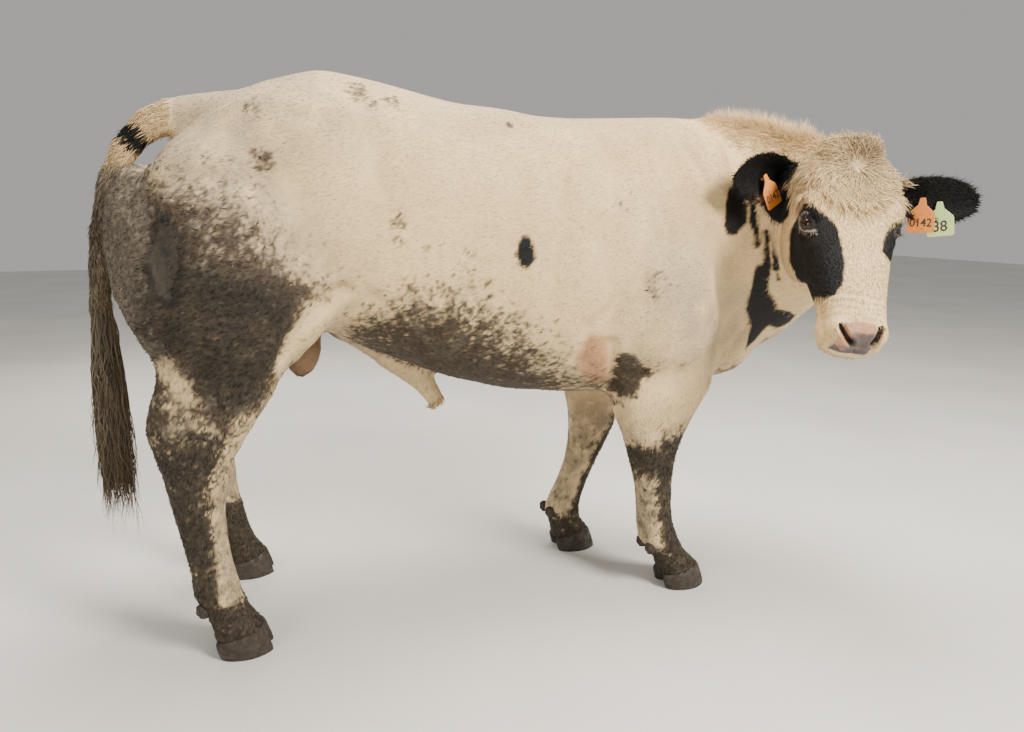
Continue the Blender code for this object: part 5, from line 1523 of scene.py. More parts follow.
class Unwrap:
    """An unwrap of the skin's own shape, made on a coarse copy of it."""

    def __init__(self, mesh):
        ratio = UNWRAP_TRIANGLES / (2 * len(mesh.polygons))
        coarse = with_modifier(mesh, "DECIMATE", ratio=ratio, use_collapse_triangulate=True)
        holder = bpy.data.objects.new("unwrap", coarse)
        bpy.context.scene.collection.objects.link(holder)
        bpy.context.view_layer.objects.active = holder
        holder.select_set(True)
        coarse.uv_layers.new(name=BAKE_MAP)
        bpy.ops.object.mode_set(mode="EDIT")
        bpy.ops.mesh.select_all(action="SELECT")
        bpy.ops.uv.smart_project(angle_limit=math.radians(66), island_margin=0.002)
        bpy.ops.object.mode_set(mode="OBJECT")
        count = len(coarse.polygons)
        corners = np.empty(3 * count, dtype=np.int32)
        coarse.loops.foreach_get("vertex_index", corners)
        spots = np.empty(6 * count, dtype=np.float32)
        coarse.uv_layers[BAKE_MAP].data.foreach_get("uv", spots)
        self.places = corners_of(coarse)[corners.reshape(-1, 3)]
        self.spots = spots.reshape(-1, 3, 2)
        self.tree = tree_of(coarse)
        bpy.data.objects.remove(holder, do_unlink=True)

    def at(self, points):
        """Where each point of the skin lies on the unwrap."""
        nearest = [self.tree.find_nearest(Vector(point)) for point in points]
        faces = np.array([hit[2] for hit in nearest])
        on = np.array([hit[0][:] for hit in nearest])
        a, b, c = (self.places[faces, k] for k in range(3))
        normal = np.cross(b - a, c - a)
        whole = np.sum(normal * normal, axis=1) + 1e-18
        first = np.sum(np.cross(c - b, on - b) * normal, axis=1) / whole
        second = np.sum(np.cross(a - c, on - c) * normal, axis=1) / whole
        shares = np.clip(np.stack([first, second, 1 - first - second], 1), 0, 1)[:, :, None]
        return (self.spots[faces] * shares).sum(axis=1)


class Pelt:
    """The skin as arrays, from which roots are drawn at random but the same every time."""

    def __init__(self, mesh, unwrap):
        mesh.calc_loop_triangles()
        corners = np.empty(3 * len(mesh.loop_triangles), dtype=np.int32)
        mesh.loop_triangles.foreach_get("vertices", corners)
        self.corners = corners.reshape(-1, 3)
        self.unwrap = unwrap
        self.points = corners_of(mesh)
        self.normals = normals_of(mesh)
        spots = self.points[self.corners]
        self.middles = spots.mean(axis=1)
        self.facing = self.normals[self.corners].mean(axis=1)
        first, second = spots[:, 1] - spots[:, 0], spots[:, 2] - spots[:, 0]
        self.areas = np.linalg.norm(np.cross(first, second), axis=1) / 2
        self.coat = coat_of(self.middles, self.facing)

    def roots(self, count, density, seed):
        """count roots, drawn in proportion to area times density(places, normals, coat)."""
        rng = np.random.default_rng(seed)
        heap = np.cumsum(self.areas * density(self.middles, self.facing, self.coat))
        picks = np.searchsorted(heap, (np.arange(count) + rng.random(count)) / count * heap[-1])
        picks = np.minimum(picks, len(heap) - 1)
        a, b = rng.random((2, count))
        flip = a + b > 1
        a, b = np.where(flip, 1 - a, a), np.where(flip, 1 - b, b)
        shares = np.stack([1 - a - b, a, b], 1)[:, :, None]
        places = (self.points[self.corners[picks]] * shares).sum(axis=1)
        normals = (self.normals[self.corners[picks]] * shares).sum(axis=1)
        normals /= np.linalg.norm(normals, axis=1)[:, None] + 1e-9
        return Roots(places, normals, self.unwrap.at(places))


def blade_corners(roots, lies, style, look):
    """The corners of each blade: a ring of three at every step along it, and one at its tip."""
    asides = np.cross(roots.normals, lies)

    def spine(t):
        high = -style.sink * (1 - t) ** 2 + 4 * look["arch"] * t * (1 - t) + look["tip"] * t * t
        wave = look["curl"] * np.sin(2 * math.pi * look["waves"] * t + look["phase"]) * t ** 0.7
        forward = roots.places + lies * (look["length"] * t)[:, None]
        return forward + roots.normals * high[:, None] + asides * wave[:, None]

    corners = []
    for t in np.linspace(0, 1, style.rings + 1)[:-1]:
        spot = spine(t)
        full = (0.75 + 0.6 * t) if t < 0.4 else (1 - t) ** 0.75 * 1.36
        half = (look["width"] * full / 2)[:, None]
        raised = spot + roots.normals * half * 2 * style.thickness
        corners.append(np.stack([spot - asides * half, raised, spot + asides * half], axis=1))
    corners.append(spine(1.0)[:, None, :])
    return np.concatenate(corners, axis=1)


def blade_faces(rings):
    """The triangles of one blade: its three sides, its tip and its foot."""
    faces = []
    for r in range(rings - 1):
        for k in range(3):
            a, b = 3 * r + k, 3 * r + (k + 1) % 3
            faces += [(a, b, b + 3), (a, b + 3, a + 3)]
    last = 3 * (rings - 1)
    faces += [(last + k, last + (k + 1) % 3, last + 3) for k in range(3)]
    faces.append((2, 1, 0))
    return np.array(faces)[:, ::-1]


def tuft_mesh(name, roots, lies, style, look, shades):
    """Solid tufts: each a tapered three-sided blade along its path, closed at the root and the tip."""
    count = len(roots.places)
    rings = style.rings
    corners = blade_corners(roots, lies, style, look)
    each = 3 * rings + 1
    triangles = (blade_faces(rings)[None] + (each * np.arange(count))[:, None, None]).reshape(-1, 3)
    along = np.concatenate([np.repeat(np.linspace(0, 1, rings + 1)[:-1], 3), [1.0]])
    colours = np.ones((count, each, 4))
    light = style.root_shade + (TIP_SHADE - style.root_shade) * along
    colours[:, :, :3] = shades["colour"][:, None, :] * (light[None, :, None] * shades["light"][:, None, None])
    finish = np.zeros((count, each, 4))
    finish[:, :, 0] = shades["mud"][:, None]
    finish[:, :, 3] = 1
    across = np.concatenate([np.tile([0, 0.5, 1], rings), [0.5]])
    patch = np.stack([across, along], 1)
    unwrap = np.clip(roots.unwrap[:, None, :] + (patch[None] - 0.5) * PATCH, 0, 1)
    arrays = (values.reshape(-1, values.shape[-1]) for values in (colours, finish, unwrap))
    return plain_mesh(name, corners.reshape(-1, 3), triangles, *arrays)


def plain_mesh(name, points, triangles, colours, finish, unwrap):
    """A mesh from arrays, with its colours and its place on the unwrap."""
    mesh = bpy.data.meshes.new(name)
    mesh.vertices.add(len(points))
    mesh.vertices.foreach_set("co", points.ravel().astype(np.float32))
    mesh.loops.add(3 * len(triangles))
    mesh.loops.foreach_set("vertex_index", triangles.ravel().astype(np.int32))
    mesh.polygons.add(len(triangles))
    mesh.polygons.foreach_set("loop_start", np.arange(0, 3 * len(triangles), 3, dtype=np.int32))
    mesh.polygons.foreach_set("use_smooth", np.ones(len(triangles), dtype=bool))
    paint(mesh, colours, finish)
    layer = mesh.uv_layers.new(name=BAKE_MAP)
    layer.data.foreach_set("uv", unwrap[triangles.ravel()].ravel().astype(np.float32))
    mesh.update(calc_edges=True)
    mesh.validate()
    return mesh


def paint(mesh, colours, finish):
    """Stores the colours and the finish at the mesh's corners."""
    for label, values in (("coat", colours), ("finish", finish)):
        layer = mesh.color_attributes.new(name=label, type="FLOAT_COLOR", domain="POINT")
        layer.data.foreach_set("color", values.ravel().astype(np.float32))


# Tufts are made in pieces of at most this many triangles
PIECE_TRIANGLES = 190000
TIP_SHADE = 1.06

# One kind of tuft: how many, where and from which seed they grow, how many rings each has, its measures,
# how it strays from the way the hair lies, and its shade, slot and material
Style = namedtuple(
    "Style",
    "name count density seed rings length width arch tip curl waves sink thickness "
    "spread sway sway_size root_shade variety tone hang slot material",
    defaults=(0.0, 0.5, 0.003, 0.30, 0.14, 0.25, 0.09, 0.90, 0.05, 1.0, None, "coat_white", "hair"),
)


def lies_of(style, roots, rng):
    """The way each tuft lies: with the hair or hanging, swayed in strands and strayed at random."""
    lies = hair_lie(roots.places, roots.normals)
    if style.hang is not None:
        lies = np.array((0.0, 0.0, -1.0)) + style.hang * roots.normals
    asides = np.cross(roots.normals, lies)
    sway = style.sway * fractal(roots.places, style.sway_size, style.seed + 2, 2)
    sway += style.spread * np.clip(rng.standard_normal(style.count), -2, 2)
    return lies * np.cos(sway)[:, None] + asides * np.sin(sway)[:, None]


def grow(style, pelt, shift, materials):
    """Makes the tufts of one style over the skin, in pieces, and tells how many triangles they have."""
    roots = pelt.roots(style.count, style.density, style.seed)
    rng = np.random.default_rng(style.seed + 1)
    lies = lies_of(style, roots, rng)
    coat = coat_of(roots.places, roots.normals)
    stray = rng.standard_normal(style.count) + fractal(roots.places, 0.02, style.seed + 3, 2)
    light = np.clip(1 + style.variety * stray, 0.6, 1.35)
    look = look_of(style, roots.places, rng)
    shades = {"colour": coat.colour * style.tone, "mud": coat.mud, "light": light}
    most = PIECE_TRIANGLES // len(blade_faces(style.rings))
    parts = -(-style.count // most)
    triangles = 0
    for part, index in enumerate(np.array_split(np.arange(style.count), parts)):
        label = style.name if parts == 1 else f"{style.name}_{part + 1}"
        piece_roots = Roots(*(value[index] for value in roots))
        piece_look, piece_shades = ({key: value[index] for key, value in of.items()} for of in (look, shades))
        mesh = tuft_mesh(label, piece_roots, lies[index], style, piece_look, piece_shades)
        triangles += len(mesh.polygons)
        place(label, mesh, materials[style.material], style.slot, shift)
    return triangles


def place(name, mesh, finish, slot, shift=None, replaced=()):
    """Puts a piece over the CAD nodes it stands for."""
    if shift is not None:
        mesh.transform(Matrix.Translation(shift))
    mesh.materials.clear()
    mesh.materials.append(finish)
    obj = bpy.data.objects.new(name, mesh)
    bpy.context.scene.collection.objects.link(obj)
    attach(obj, "root")
    if replaced:
        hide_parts(*replaced)
    return obj


def look_of(style, places, rng):
    """The measures of each tuft, spread at random round those of its style."""
    count = len(places)

    def vary(value, spread=0.22):
        value = value(places) if callable(value) else value
        value = np.broadcast_to(value, (count,)).astype(float)
        return value * np.clip(1 + spread * rng.standard_normal(count), 0.45, 1.6)

    return {
        "length": vary(style.length),
        "width": vary(style.width),
        "arch": vary(style.arch, 0.3),
        "tip": vary(style.tip, 0.4),
        "curl": vary(style.curl) * rng.choice((-1, 1), count),
        "waves": vary(style.waves, 0.15),
        "phase": 0.25 * rng.standard_normal(count),
    }


class Surface:
    """A procedural material, built from noises over the object's own coordinates."""

    def __init__(self, name):
        self.material = bpy.data.materials.new(name)
        self.material.use_nodes = True
        self.tree = self.material.node_tree

    def feed(self, target, inputs):
        """Links or sets a node's inputs, given as other nodes' outputs or as plain values."""
        for key, value in inputs.items():
            if isinstance(value, bpy.types.NodeSocket):
                self.tree.links.new(value, target.inputs[key])
            else:
                target.inputs[key].default_value = value

    def node(self, kind, inputs, **settings):
        made = self.tree.nodes.new("ShaderNode" + kind)
        for key, value in settings.items():
            setattr(made, key, value)
        self.feed(made, inputs)
        return made

    def spread(self, kind, scale, stretch=(1, 1, 1), **inputs):
        """A texture's node over the object's own coordinates, stretched along some of them."""
        coordinates = self.node("TexCoord", {}).outputs["Object"]
        mapping = self.node("Mapping", {"Vector": coordinates, "Scale": stretch})
        return self.node(kind, {"Vector": mapping.outputs["Vector"], "Scale": scale, **inputs})

    def grain(self, scale, detail=3.0, stretch=(1, 1, 1)):
        return self.spread("TexNoise", scale, stretch, Detail=detail).outputs["Fac"]

    def cobbles(self, scale):
        return self.spread("TexVoronoi", scale).outputs["Distance"]

    def maths(self, operation, first, second):
        return self.node("Math", {0: first, 1: second}, operation=operation).outputs[0]

    def times(self, first, second):
        return self.maths("MULTIPLY", first, second)

    def plus(self, first, second):
        return self.maths("ADD", first, second)

    def ranged(self, value, low, high, to_low, to_high):
        inputs = {"Value": value, "From Min": low, "From Max": high, "To Min": to_low, "To Max": to_high}
        return self.node("MapRange", inputs).outputs["Result"]

    def scaled(self, colour, factor):
        """A colour made lighter or darker by a factor."""
        inputs = {0: colour, "Scale": factor}
        return self.node("VectorMath", inputs, operation="SCALE").outputs["Vector"]

    def mixed(self, factor, first, second):
        """A colour between two, each a colour's output or three shares."""
        first, second = ((*colour, 1) if isinstance(colour, tuple) else colour for colour in (first, second))
        return self.node("Mix", {0: factor, 6: first, 7: second}, data_type="RGBA").outputs[2]

    def between(self, factor, first, second):
        return self.node("Mix", {0: factor, 2: first, 3: second}, data_type="FLOAT").outputs[0]

    def painted(self):
        """The painted colour and the three shares of the finish: mud, bare wet skin and leg."""
        coat = self.node("Attribute", {}, attribute_name="coat").outputs["Color"]
        finish = self.node("Attribute", {}, attribute_name="finish").outputs["Color"]
        parts = self.node("SeparateColor", {0: finish})
        return coat, parts.outputs[0], parts.outputs[1], parts.outputs[2]

    def raised(self, height, strength, distance):
        inputs = {"Height": height, "Strength": strength, "Distance": distance}
        return self.node("Bump", inputs).outputs["Normal"]

    def done(self, inputs):
        """The finished material, with what its shader takes."""
        self.feed(self.tree.nodes["Principled BSDF"], inputs)
        return self.material


def skin_material():
    """Short hair lying flat, cobbled bare skin on the nose, and rough mud."""
    s = Surface("hide")
    coat, mud, bare, low = s.painted()
    along_body = s.grain(1.0, 4.0, (75, 330, 330))
    down_leg = s.grain(1.0, 4.0, (330, 330, 75))
    streak = s.between(low, along_body, down_leg)
    blotch = s.grain(38.0, 5.0)
    clod = s.grain(95.0, 6.0)
    cobble = s.cobbles(430.0)
    light = s.times(s.ranged(streak, 0.25, 0.75, 0.80, 1.14), s.ranged(blotch, 0.3, 0.7, 0.93, 1.06))
    light = s.times(light, s.between(mud, 1.0, s.ranged(clod, 0.3, 0.72, 0.45, 1.65)))
    rough = s.between(mud, 0.66, s.ranged(clod, 0.3, 0.7, 0.55, 0.95))
    hair_height = s.times(streak, s.maths("SUBTRACT", 1.0, bare))
    mud_height = s.times(s.times(clod, mud), 2.4)
    bare_height = s.times(s.times(cobble, bare), 1.1)
    height = s.plus(s.plus(hair_height, mud_height), bare_height)
    return s.done({
        "Base Color": s.scaled(coat, light),
        "Roughness": s.between(bare, rough, s.ranged(cobble, 0.0, 0.6, 0.22, 0.42)),
        "Normal": s.raised(height, 0.55, 0.0022),
        "Specular IOR Level": 0.28,
    })


def hair_material(name, roughness, sheen):
    """Hair with fine streaks along it, duller where it is muddy."""
    s = Surface(name)
    coat, mud, _, _ = s.painted()
    fine = s.grain(700.0, 2.0)
    return s.done({
        "Base Color": s.scaled(coat, s.ranged(fine, 0.25, 0.75, 0.84, 1.14)),
        "Roughness": s.between(mud, roughness, s.ranged(fine, 0.3, 0.7, 0.75, 0.95)),
        "Normal": s.raised(fine, 0.25, 0.0008),
        "Specular IOR Level": 0.20,
        "Sheen Weight": sheen,
        "Sheen Roughness": 0.4,
    })


def horn_material():
    """Dark worn horn with growth lines, caked with dried mud towards the ground."""
    s = Surface("horn")
    lines = s.grain(1.0, 3.0, (12, 12, 420))
    caked = s.ranged(s.grain(60.0, 6.0), 0.40, 0.56, 0, 1)
    clean = s.mixed(s.ranged(lines, 0.3, 0.7, 0, 1), (0.016, 0.013, 0.011), (0.040, 0.032, 0.025))
    return s.done({
        "Base Color": s.mixed(caked, clean, (0.030, 0.021, 0.014)),
        "Roughness": s.between(caked, 0.42, 0.9),
        "Normal": s.raised(s.plus(s.times(lines, 0.5), s.times(caked, 1.2)), 0.6, 0.0015),
    })


def eye_material():
    """A wet eyeball, with rays in its iris."""
    s = Surface("eyeball")
    rays = s.grain(900.0, 3.0)
    return s.done({
        "Base Color": s.scaled(s.painted()[0], s.ranged(rays, 0.3, 0.7, 0.7, 1.4)),
        "Roughness": s.ranged(rays, 0.3, 0.7, 0.20, 0.32),
    })


def cornea_material():
    """Clear and wet, with a thin uneven film."""
    s = Surface("cornea")
    return s.done({
        "Roughness": s.ranged(s.grain(300.0, 2.0), 0.3, 0.7, 0.0, 0.03),
        "Base Color": (1, 1, 1, 1),
        "Transmission Weight": 1.0,
        "IOR": 1.38,
    })


def plastic_material(name, colour):
    """Moulded plastic, sun-bleached in places, scuffed and splashed with dirt."""
    s = Surface(name)
    faded = s.ranged(s.grain(45.0, 4.0), 0.35, 0.75, 0.0, 0.6)
    dirt = s.grain(130.0, 5.0)
    pale = tuple(min(1.0, 0.08 + 0.92 * c) for c in colour)
    base = s.mixed(faded, colour, pale)
    return s.done({
        "Base Color": s.mixed(s.ranged(dirt, 0.60, 0.70, 0.0, 0.8), base, (0.10, 0.07, 0.05)),
        "Roughness": s.ranged(dirt, 0.3, 0.7, 0.35, 0.70),
        "Normal": s.raised(dirt, 0.2, 0.0004),
        "Subsurface Weight": 0.05,
    })


def ink_material():
    """Dark print, worn in places."""
    s = Surface("print")
    worn = s.grain(400.0, 4.0)
    return s.done({
        "Base Color": s.mixed(s.ranged(worn, 0.55, 0.7, 0, 0.6), (0.03, 0.02, 0.015), (0.25, 0.12, 0.05)),
        "Roughness": s.ranged(worn, 0.3, 0.7, 0.5, 0.8),
    })


def floor_material():
    """Pale and dull, slightly clouded."""
    s = Surface("floor")
    cloud = s.ranged(s.grain(1.3, 5.0), 0.3, 0.7, 0, 1)
    speck = s.grain(140.0, 3.0)
    colour = s.mixed(cloud, (0.62, 0.61, 0.59), (0.70, 0.69, 0.67))
    return s.done({
        "Base Color": s.scaled(colour, s.ranged(speck, 0.3, 0.7, 0.97, 1.03)),
        "Roughness": s.ranged(speck, 0.3, 0.7, 0.75, 0.9),
    })


# Densities and looks of the styles of hair
def is_tail(points):
    return tail_share(points) > 0.5


def is_ear(points):
    ears = [ear_places(points, name) for name in SIDES]
    return np.any([near & (share > EAR_FREE_FROM) for share, _, _, near in ears], axis=0)


def poll_hair(points):
    """Where the long hair of the poll and the brow grows, from 0 to 1."""
    x, y, z = in_head(points).T
    upper = soft_step(0.165 + 0.02 * np.cos(30 * y) - x, 0, 0.03)
    return of_head(points) * upper * soft_step(z, -0.11, -0.03)


def crest_hair(points):
    """Where the hair of the crest stands up, from 0 to 1."""
    line = [(b.x, b.y, b.z + b.rise - 0.01) for b in NECK[1:5]]
    near = soft_step(0.150 - from_line(points, line), 0, 0.13)
    return near * soft_step(points[:, 0], 0.48, 0.58) * (1 - of_head(points))


def body_density(points, normals, coat):
    whole = (1 - of_head(points)) * ~is_tail(points)
    return whole * soft_step(points[:, 2], 0.50, 0.60) * coat.length


def leg_density(points, normals, coat):
    height = points[:, 2]
    return soft_step(0.60 - height, 0, 0.1) * (normals[:, 2] > -0.7) * (height > 0.048) * ~is_tail(points)


def face_density(points, normals, coat):
    muzzle = 1 - 0.6 * soft_step(in_head(points)[:, 0], 0.40, 0.47)
    return of_head(points) * (1 - coat.bare) * ~is_ear(points) * muzzle * (eye_gap(points) > 0.017)


def eye_gap(points):
    return eye_distance(in_head(points))


def ear_density(points, normals, coat):
    return is_ear(points).astype(float)


def ear_fringe_density(points, normals, coat):
    weight = np.zeros(len(points))
    for name in SIDES:
        share, aside, depth, near = ear_places(points, name)
        rim = near & (np.abs(aside) > 0.80) & (share > 0.10)
        inner = near & (depth > 0) & (np.abs(aside) < 0.6) & (share > 0.06) & (share < 0.45)
        weight = np.maximum(weight, rim + 0.35 * inner)
    return weight


def poll_length(points):
    """The poll's hair is short at the back of the crown and at the edges, so that it lies close."""
    x, y, _ = in_head(points).T
    crown = soft_step(x, -0.02, 0.060)
    return (0.55 + 0.45 * crown) * (0.72 + 0.28 * soft_step(0.150 - np.abs(y), 0, 0.05))


def poll_density(points, normals, coat):
    return poll_hair(points) * ~is_ear(points) * (1 - coat.bare)


def crest_density(points, normals, coat):
    return np.sqrt(crest_hair(points)) * soft_step(normals[:, 2], -0.3, 0.3) * (1 - poll_hair(points))


def tail_density(points, normals, coat):
    return (is_tail(points) & (points[:, 2] > 0.74)).astype(float)


def switch_density(points, normals, coat):
    return is_tail(points) * (points[:, 2] < 0.86) * (np.abs(normals[:, 2]) < 0.7)


def mud_density(points, normals, coat):
    rear = soft_step(-points[:, 0], 0.58, 0.80) * soft_step(points[:, 2], 0.42, 0.52)
    feet = 0.7 * soft_step(0.50 - points[:, 2], 0, 0.1) * (points[:, 2] > 0.055)
    return soft_step(coat.mud, 0.45, 0.9) * (rear + feet + 0.2) * ~is_tail(points) * (1 - of_head(points))


def sheath_density(points, normals, coat):
    tip = np.linalg.norm(points - np.array(SHEATH_TIP), axis=1)
    return (tip < 0.030).astype(float)


def lock_length(places):
    return 0.050 * poll_length(places)


def curl_length(places):
    return 0.040 * poll_length(places)


def crest_tip(places):
    return 0.0015 + 0.026 * np.square(crest_hair(places))


def switch_length(places):
    return np.clip((places[:, 2] - 0.32) * 0.80, 0.10, 0.30)


# name, count, density, seed, rings, length, width, arch, tip, then what differs from the usual
STYLES = [
    Style("coat_body", 42000, body_density, 100, 2, 0.0150, 0.0018, 0.0002, 0.0004,
          sink=0.0010, thickness=0.22, root_shade=0.98, variety=0.035),
    Style("coat_legs", 13000, leg_density, 120, 2, 0.0120, 0.0020, 0.0003, 0.0008,
          sink=0.0012, thickness=0.25, variety=0.07),
    Style("coat_face", 29000, face_density, 140, 2, 0.0140, 0.0014, 0.0002, 0.0006,
          sink=0.0012, thickness=0.22, spread=0.18, sway=0.45, sway_size=0.05, root_shade=0.95,
          variety=0.08),
    Style("coat_ears", 7000, ear_density, 160, 2, 0.012, 0.0022, 0.0006, 0.0012,
          sink=0.002, slot="ear_black", material="hair_dark"),
    Style("fringe_ears", 2600, ear_fringe_density, 180, 3, 0.017, 0.0014, 0.0020, 0.0060,
          curl=0.0015, spread=0.5, slot="ear_black", material="hair_dark"),
    Style("locks_poll", 2400, poll_density, 200, 6, lock_length, 0.0044, 0.0040, -0.0010,
          curl=0.0065, waves=0.95, sink=0.008, thickness=0.45, spread=0.16, sway=1.0, sway_size=0.06,
          root_shade=0.60, variety=0.15, tone=1.08, material="hair_long"),
    Style("curls_poll", 5400, poll_density, 210, 5, curl_length, 0.0021, 0.0050, 0.0020,
          curl=0.0050, waves=1.05, sink=0.006, thickness=0.45, spread=0.34, sway=1.0, sway_size=0.06,
          root_shade=0.72, variety=0.15, tone=1.12, material="hair_long"),
    Style("hair_crest", 6500, crest_density, 220, 3, 0.026, 0.0021, 0.0015, crest_tip,
          curl=0.0030, waves=0.8, sink=0.0015, thickness=0.40, spread=0.45, sway=0.6, sway_size=0.05,
          variety=0.09, tone=1.03, material="hair_long"),
    Style("hair_tail", 3300, tail_density, 240, 3, 0.026, 0.0030, 0.0012, 0.0030,
          curl=0.002, thickness=0.4, spread=0.20, root_shade=0.75, variety=0.12),
    Style("switch_tail", 1200, switch_density, 260, 9, switch_length, 0.0042, 0.0030, 0.0040,
          curl=0.0110, waves=2.0, thickness=0.45, hang=0.04, spread=0.04, sway=0.05, root_shade=0.60,
          variety=0.20, material="hair_long"),
    Style("clumps_mud", 5200, mud_density, 280, 3, 0.0125, 0.0030, 0.0010, 0.0020,
          curl=0.0018, waves=0.6, sink=0.002, thickness=0.40, spread=0.45, variety=0.22,
          root_shade=0.65),
    Style("hair_sheath", 260, sheath_density, 300, 4, 0.022, 0.0030, 0.002, 0.004,
          curl=0.003, waves=0.7, thickness=0.4, spread=0.2, material="hair_long"),
]
LASHES = 34  # how many lashes an upper lid has
LASH_DARK = (0.02, 0.018, 0.016)
LASH_PALE = (0.20, 0.17, 0.14)
LASH = Style("lashes", LASHES, None, 400, 4, 0.017, 0.0009, 0.0008, -0.0030, 0.0004, 0.5, 0.0, 0.5)


IRIS_RADIUS = 0.0138
IRIS_LEVEL = 0.66  # the share of the ball's radius at which the iris lies nearly flat
IRIS_SLOPE = 0.10
PUPIL_HALF_LENGTH = 0.0082
PUPIL_HALF_HEIGHT = 0.0046
CORNEA_BULGE = 0.0007
CORNEA_FROM = 0.35
EYE_BROWN = np.array((0.10, 0.065, 0.045))
IRIS_DARK = np.array((0.050, 0.022, 0.010))
IRIS_LIGHT = np.array((0.10, 0.045, 0.018))
IRIS_EDGE = np.array((0.010, 0.007, 0.006))
PUPIL_BLACK = np.array((0.003, 0.003, 0.004))


def in_place(places, side):
    """Places about an eye's centre, brought from the head's frame to the body's."""
    return from_head(places + np.array(sided(EYE, side)))


def eyeball(side):
    """A ball with a nearly flat iris and a level oval pupil."""
    axis, corners, rise = as_arrays(eye_axes(side))
    ball = ellipsoid(Muscle((0, 0, 0), (1, 1, 1), (0, 0, 0)), 5)
    points = corners_of(ball)
    out = points @ axis
    reach = EYE_RADIUS - 0.0005
    sunk = np.where(out > IRIS_LEVEL, IRIS_LEVEL + IRIS_SLOPE * (out - IRIS_LEVEL) - out, 0) * reach
    places = points * reach + sunk[:, None] * axis
    along, above = places @ corners, places @ rise
    far = np.hypot(along, above)
    pupil = np.hypot(along / PUPIL_HALF_LENGTH, above / PUPIL_HALF_HEIGHT)
    iris = over(IRIS_DARK, IRIS_LIGHT, soft_step(fractal(points, 0.08, 51, 3), -0.2, 0.4))
    colour = over(EYE_BROWN, iris, soft_step(IRIS_RADIUS - far, 0, 0.0006) * (out > 0))
    colour = over(colour, IRIS_EDGE, bump(far - 0.0136, 0.0009) * (out > 0))
    colour = over(colour, PUPIL_BLACK, soft_step(1.06 - pupil, 0, 0.08) * (out > 0))
    put_corners(ball, in_place(places, side))
    paint(ball, with_alpha(colour), np.zeros((len(colour), 4)))
    smooth(ball)
    return ball


def cornea(side):
    """A clear dome over the front of an eye."""
    dome = ellipsoid(Muscle((0, 0, 0), (1, 1, 1), (0, 0, 0)), 5)
    points = corners_of(dome)
    out = points @ np.array(eye_axes(side)[0])
    bulge = CORNEA_BULGE * bump(np.arccos(np.clip(out, -1, 1)), 0.5)
    put_corners(dome, in_place(points * (EYE_RADIUS + bulge)[:, None], side))
    made = bmesh.new()
    made.from_mesh(dome)
    made.verts.ensure_lookup_table()
    behind = [made.verts[i] for i in np.nonzero(out < CORNEA_FROM)[0]]
    bmesh.ops.delete(made, geom=behind, context="VERTS")
    dome = finished(made)
    smooth(dome)
    return dome


def with_alpha(colour):
    return np.concatenate([colour, np.ones((len(colour), 1))], 1)


def eyes(shift, materials):
    for name, side in SIDES.items():
        place("eyeball_" + name, eyeball(side), materials["eye"], "eye_dark", shift, ["eye_" + name])
        place("cornea_" + name, cornea(side), materials["cornea"], "eye_dark", shift)


def lashes(shift, materials):
    """Lashes along the upper lids, and a few along the lower ones."""
    facing = head_turn()
    rng = np.random.default_rng(LASH.seed)
    reach = EYE_RADIUS + 0.0052
    for name, side in SIDES.items():
        axis, corners, rise = as_arrays(eye_axes(side))
        places, lies = [], []
        for lid_rise, count in ((UPPER_LID_RISE, LASHES), (LOWER_LID_DROP, LASHES // 3)):
            for turn in rng.uniform(0.18, 0.82, count) * math.pi:
                along, above = LID_HALF_LENGTH * math.cos(turn), lid_rise * math.sin(turn)
                out = math.sqrt(max(reach * reach - along * along - above * above, 0))
                places.append(corners * along + rise * above + axis * out)
                way = math.copysign(1, lid_rise)
                lies.append(axis * 0.55 + rise * way * 0.45 + corners * 0.35 * math.cos(turn))
        places, lies = np.array(places), np.array(lies)
        lies /= np.linalg.norm(lies, axis=1)[:, None]
        normals = axis - lies * (lies @ axis)[:, None]
        normals /= np.linalg.norm(normals, axis=1)[:, None]
        count = len(places)
        roots = Roots(in_place(places, side), normals @ facing.T, np.full((count, 2), 0.5))
        look = look_of(LASH, places, rng)
        hue = LASH_DARK if side == RIGHT else LASH_PALE
        shades = {"colour": np.tile(hue, (count, 1)), "mud": np.zeros(count), "light": np.ones(count)}
        mesh = tuft_mesh("lashes_" + name, roots, lies @ facing.T, LASH, look, shades)
        place("lashes_" + name, mesh, materials["hair_dark"], "ear_black", shift)


CLAW_LEVELS = 16
CLAW_POINTS = 36
CLAW_REACH = ((0, 0.28, 0.57, 0.85, 1), (1.0, 0.99, 0.965, 0.93, 0.86))
CLAW_LEAN = ((0, 0.28, 0.57, 1), (0.012, 0.008, 0.003, -0.003))


def claw(foot, side, seed):
    """One claw: a wedge with a curved outer wall, a flat inner wall, growth rings and a worn edge."""
    rings = []
    for level in range(CLAW_LEVELS):
        share = level / (CLAW_LEVELS - 1)
        lean = np.interp(share, *CLAW_LEAN)
        ridge = 1 + 0.010 * math.sin(share * 30 + seed) * (1 - share)
        edge = 0.985 if level == 0 else 1.0
        size = np.interp(share, *CLAW_REACH) * edge * ridge
        ring = []
        for k in range(CLAW_POINTS):
            angle = 2 * math.pi * k / CLAW_POINTS
            along = CLAW_HALF_LENGTH * size * math.cos(angle) + lean
            outer = CLAW_HALF_WIDTH * size * (1 + math.sin(angle)) * 0.98
            taper = 1 - 0.30 * max(math.cos(angle), 0) ** 2
            top = CORONET_HEIGHT + CORONET_SLOPE * along
            aside = side * (CLAW_CLEFT + max(outer * taper, 0.0))
            ring.append(Vector((foot.x + along, foot.y + aside, top * share)))
        rings.append(ring)
    return closed_loft(rings)


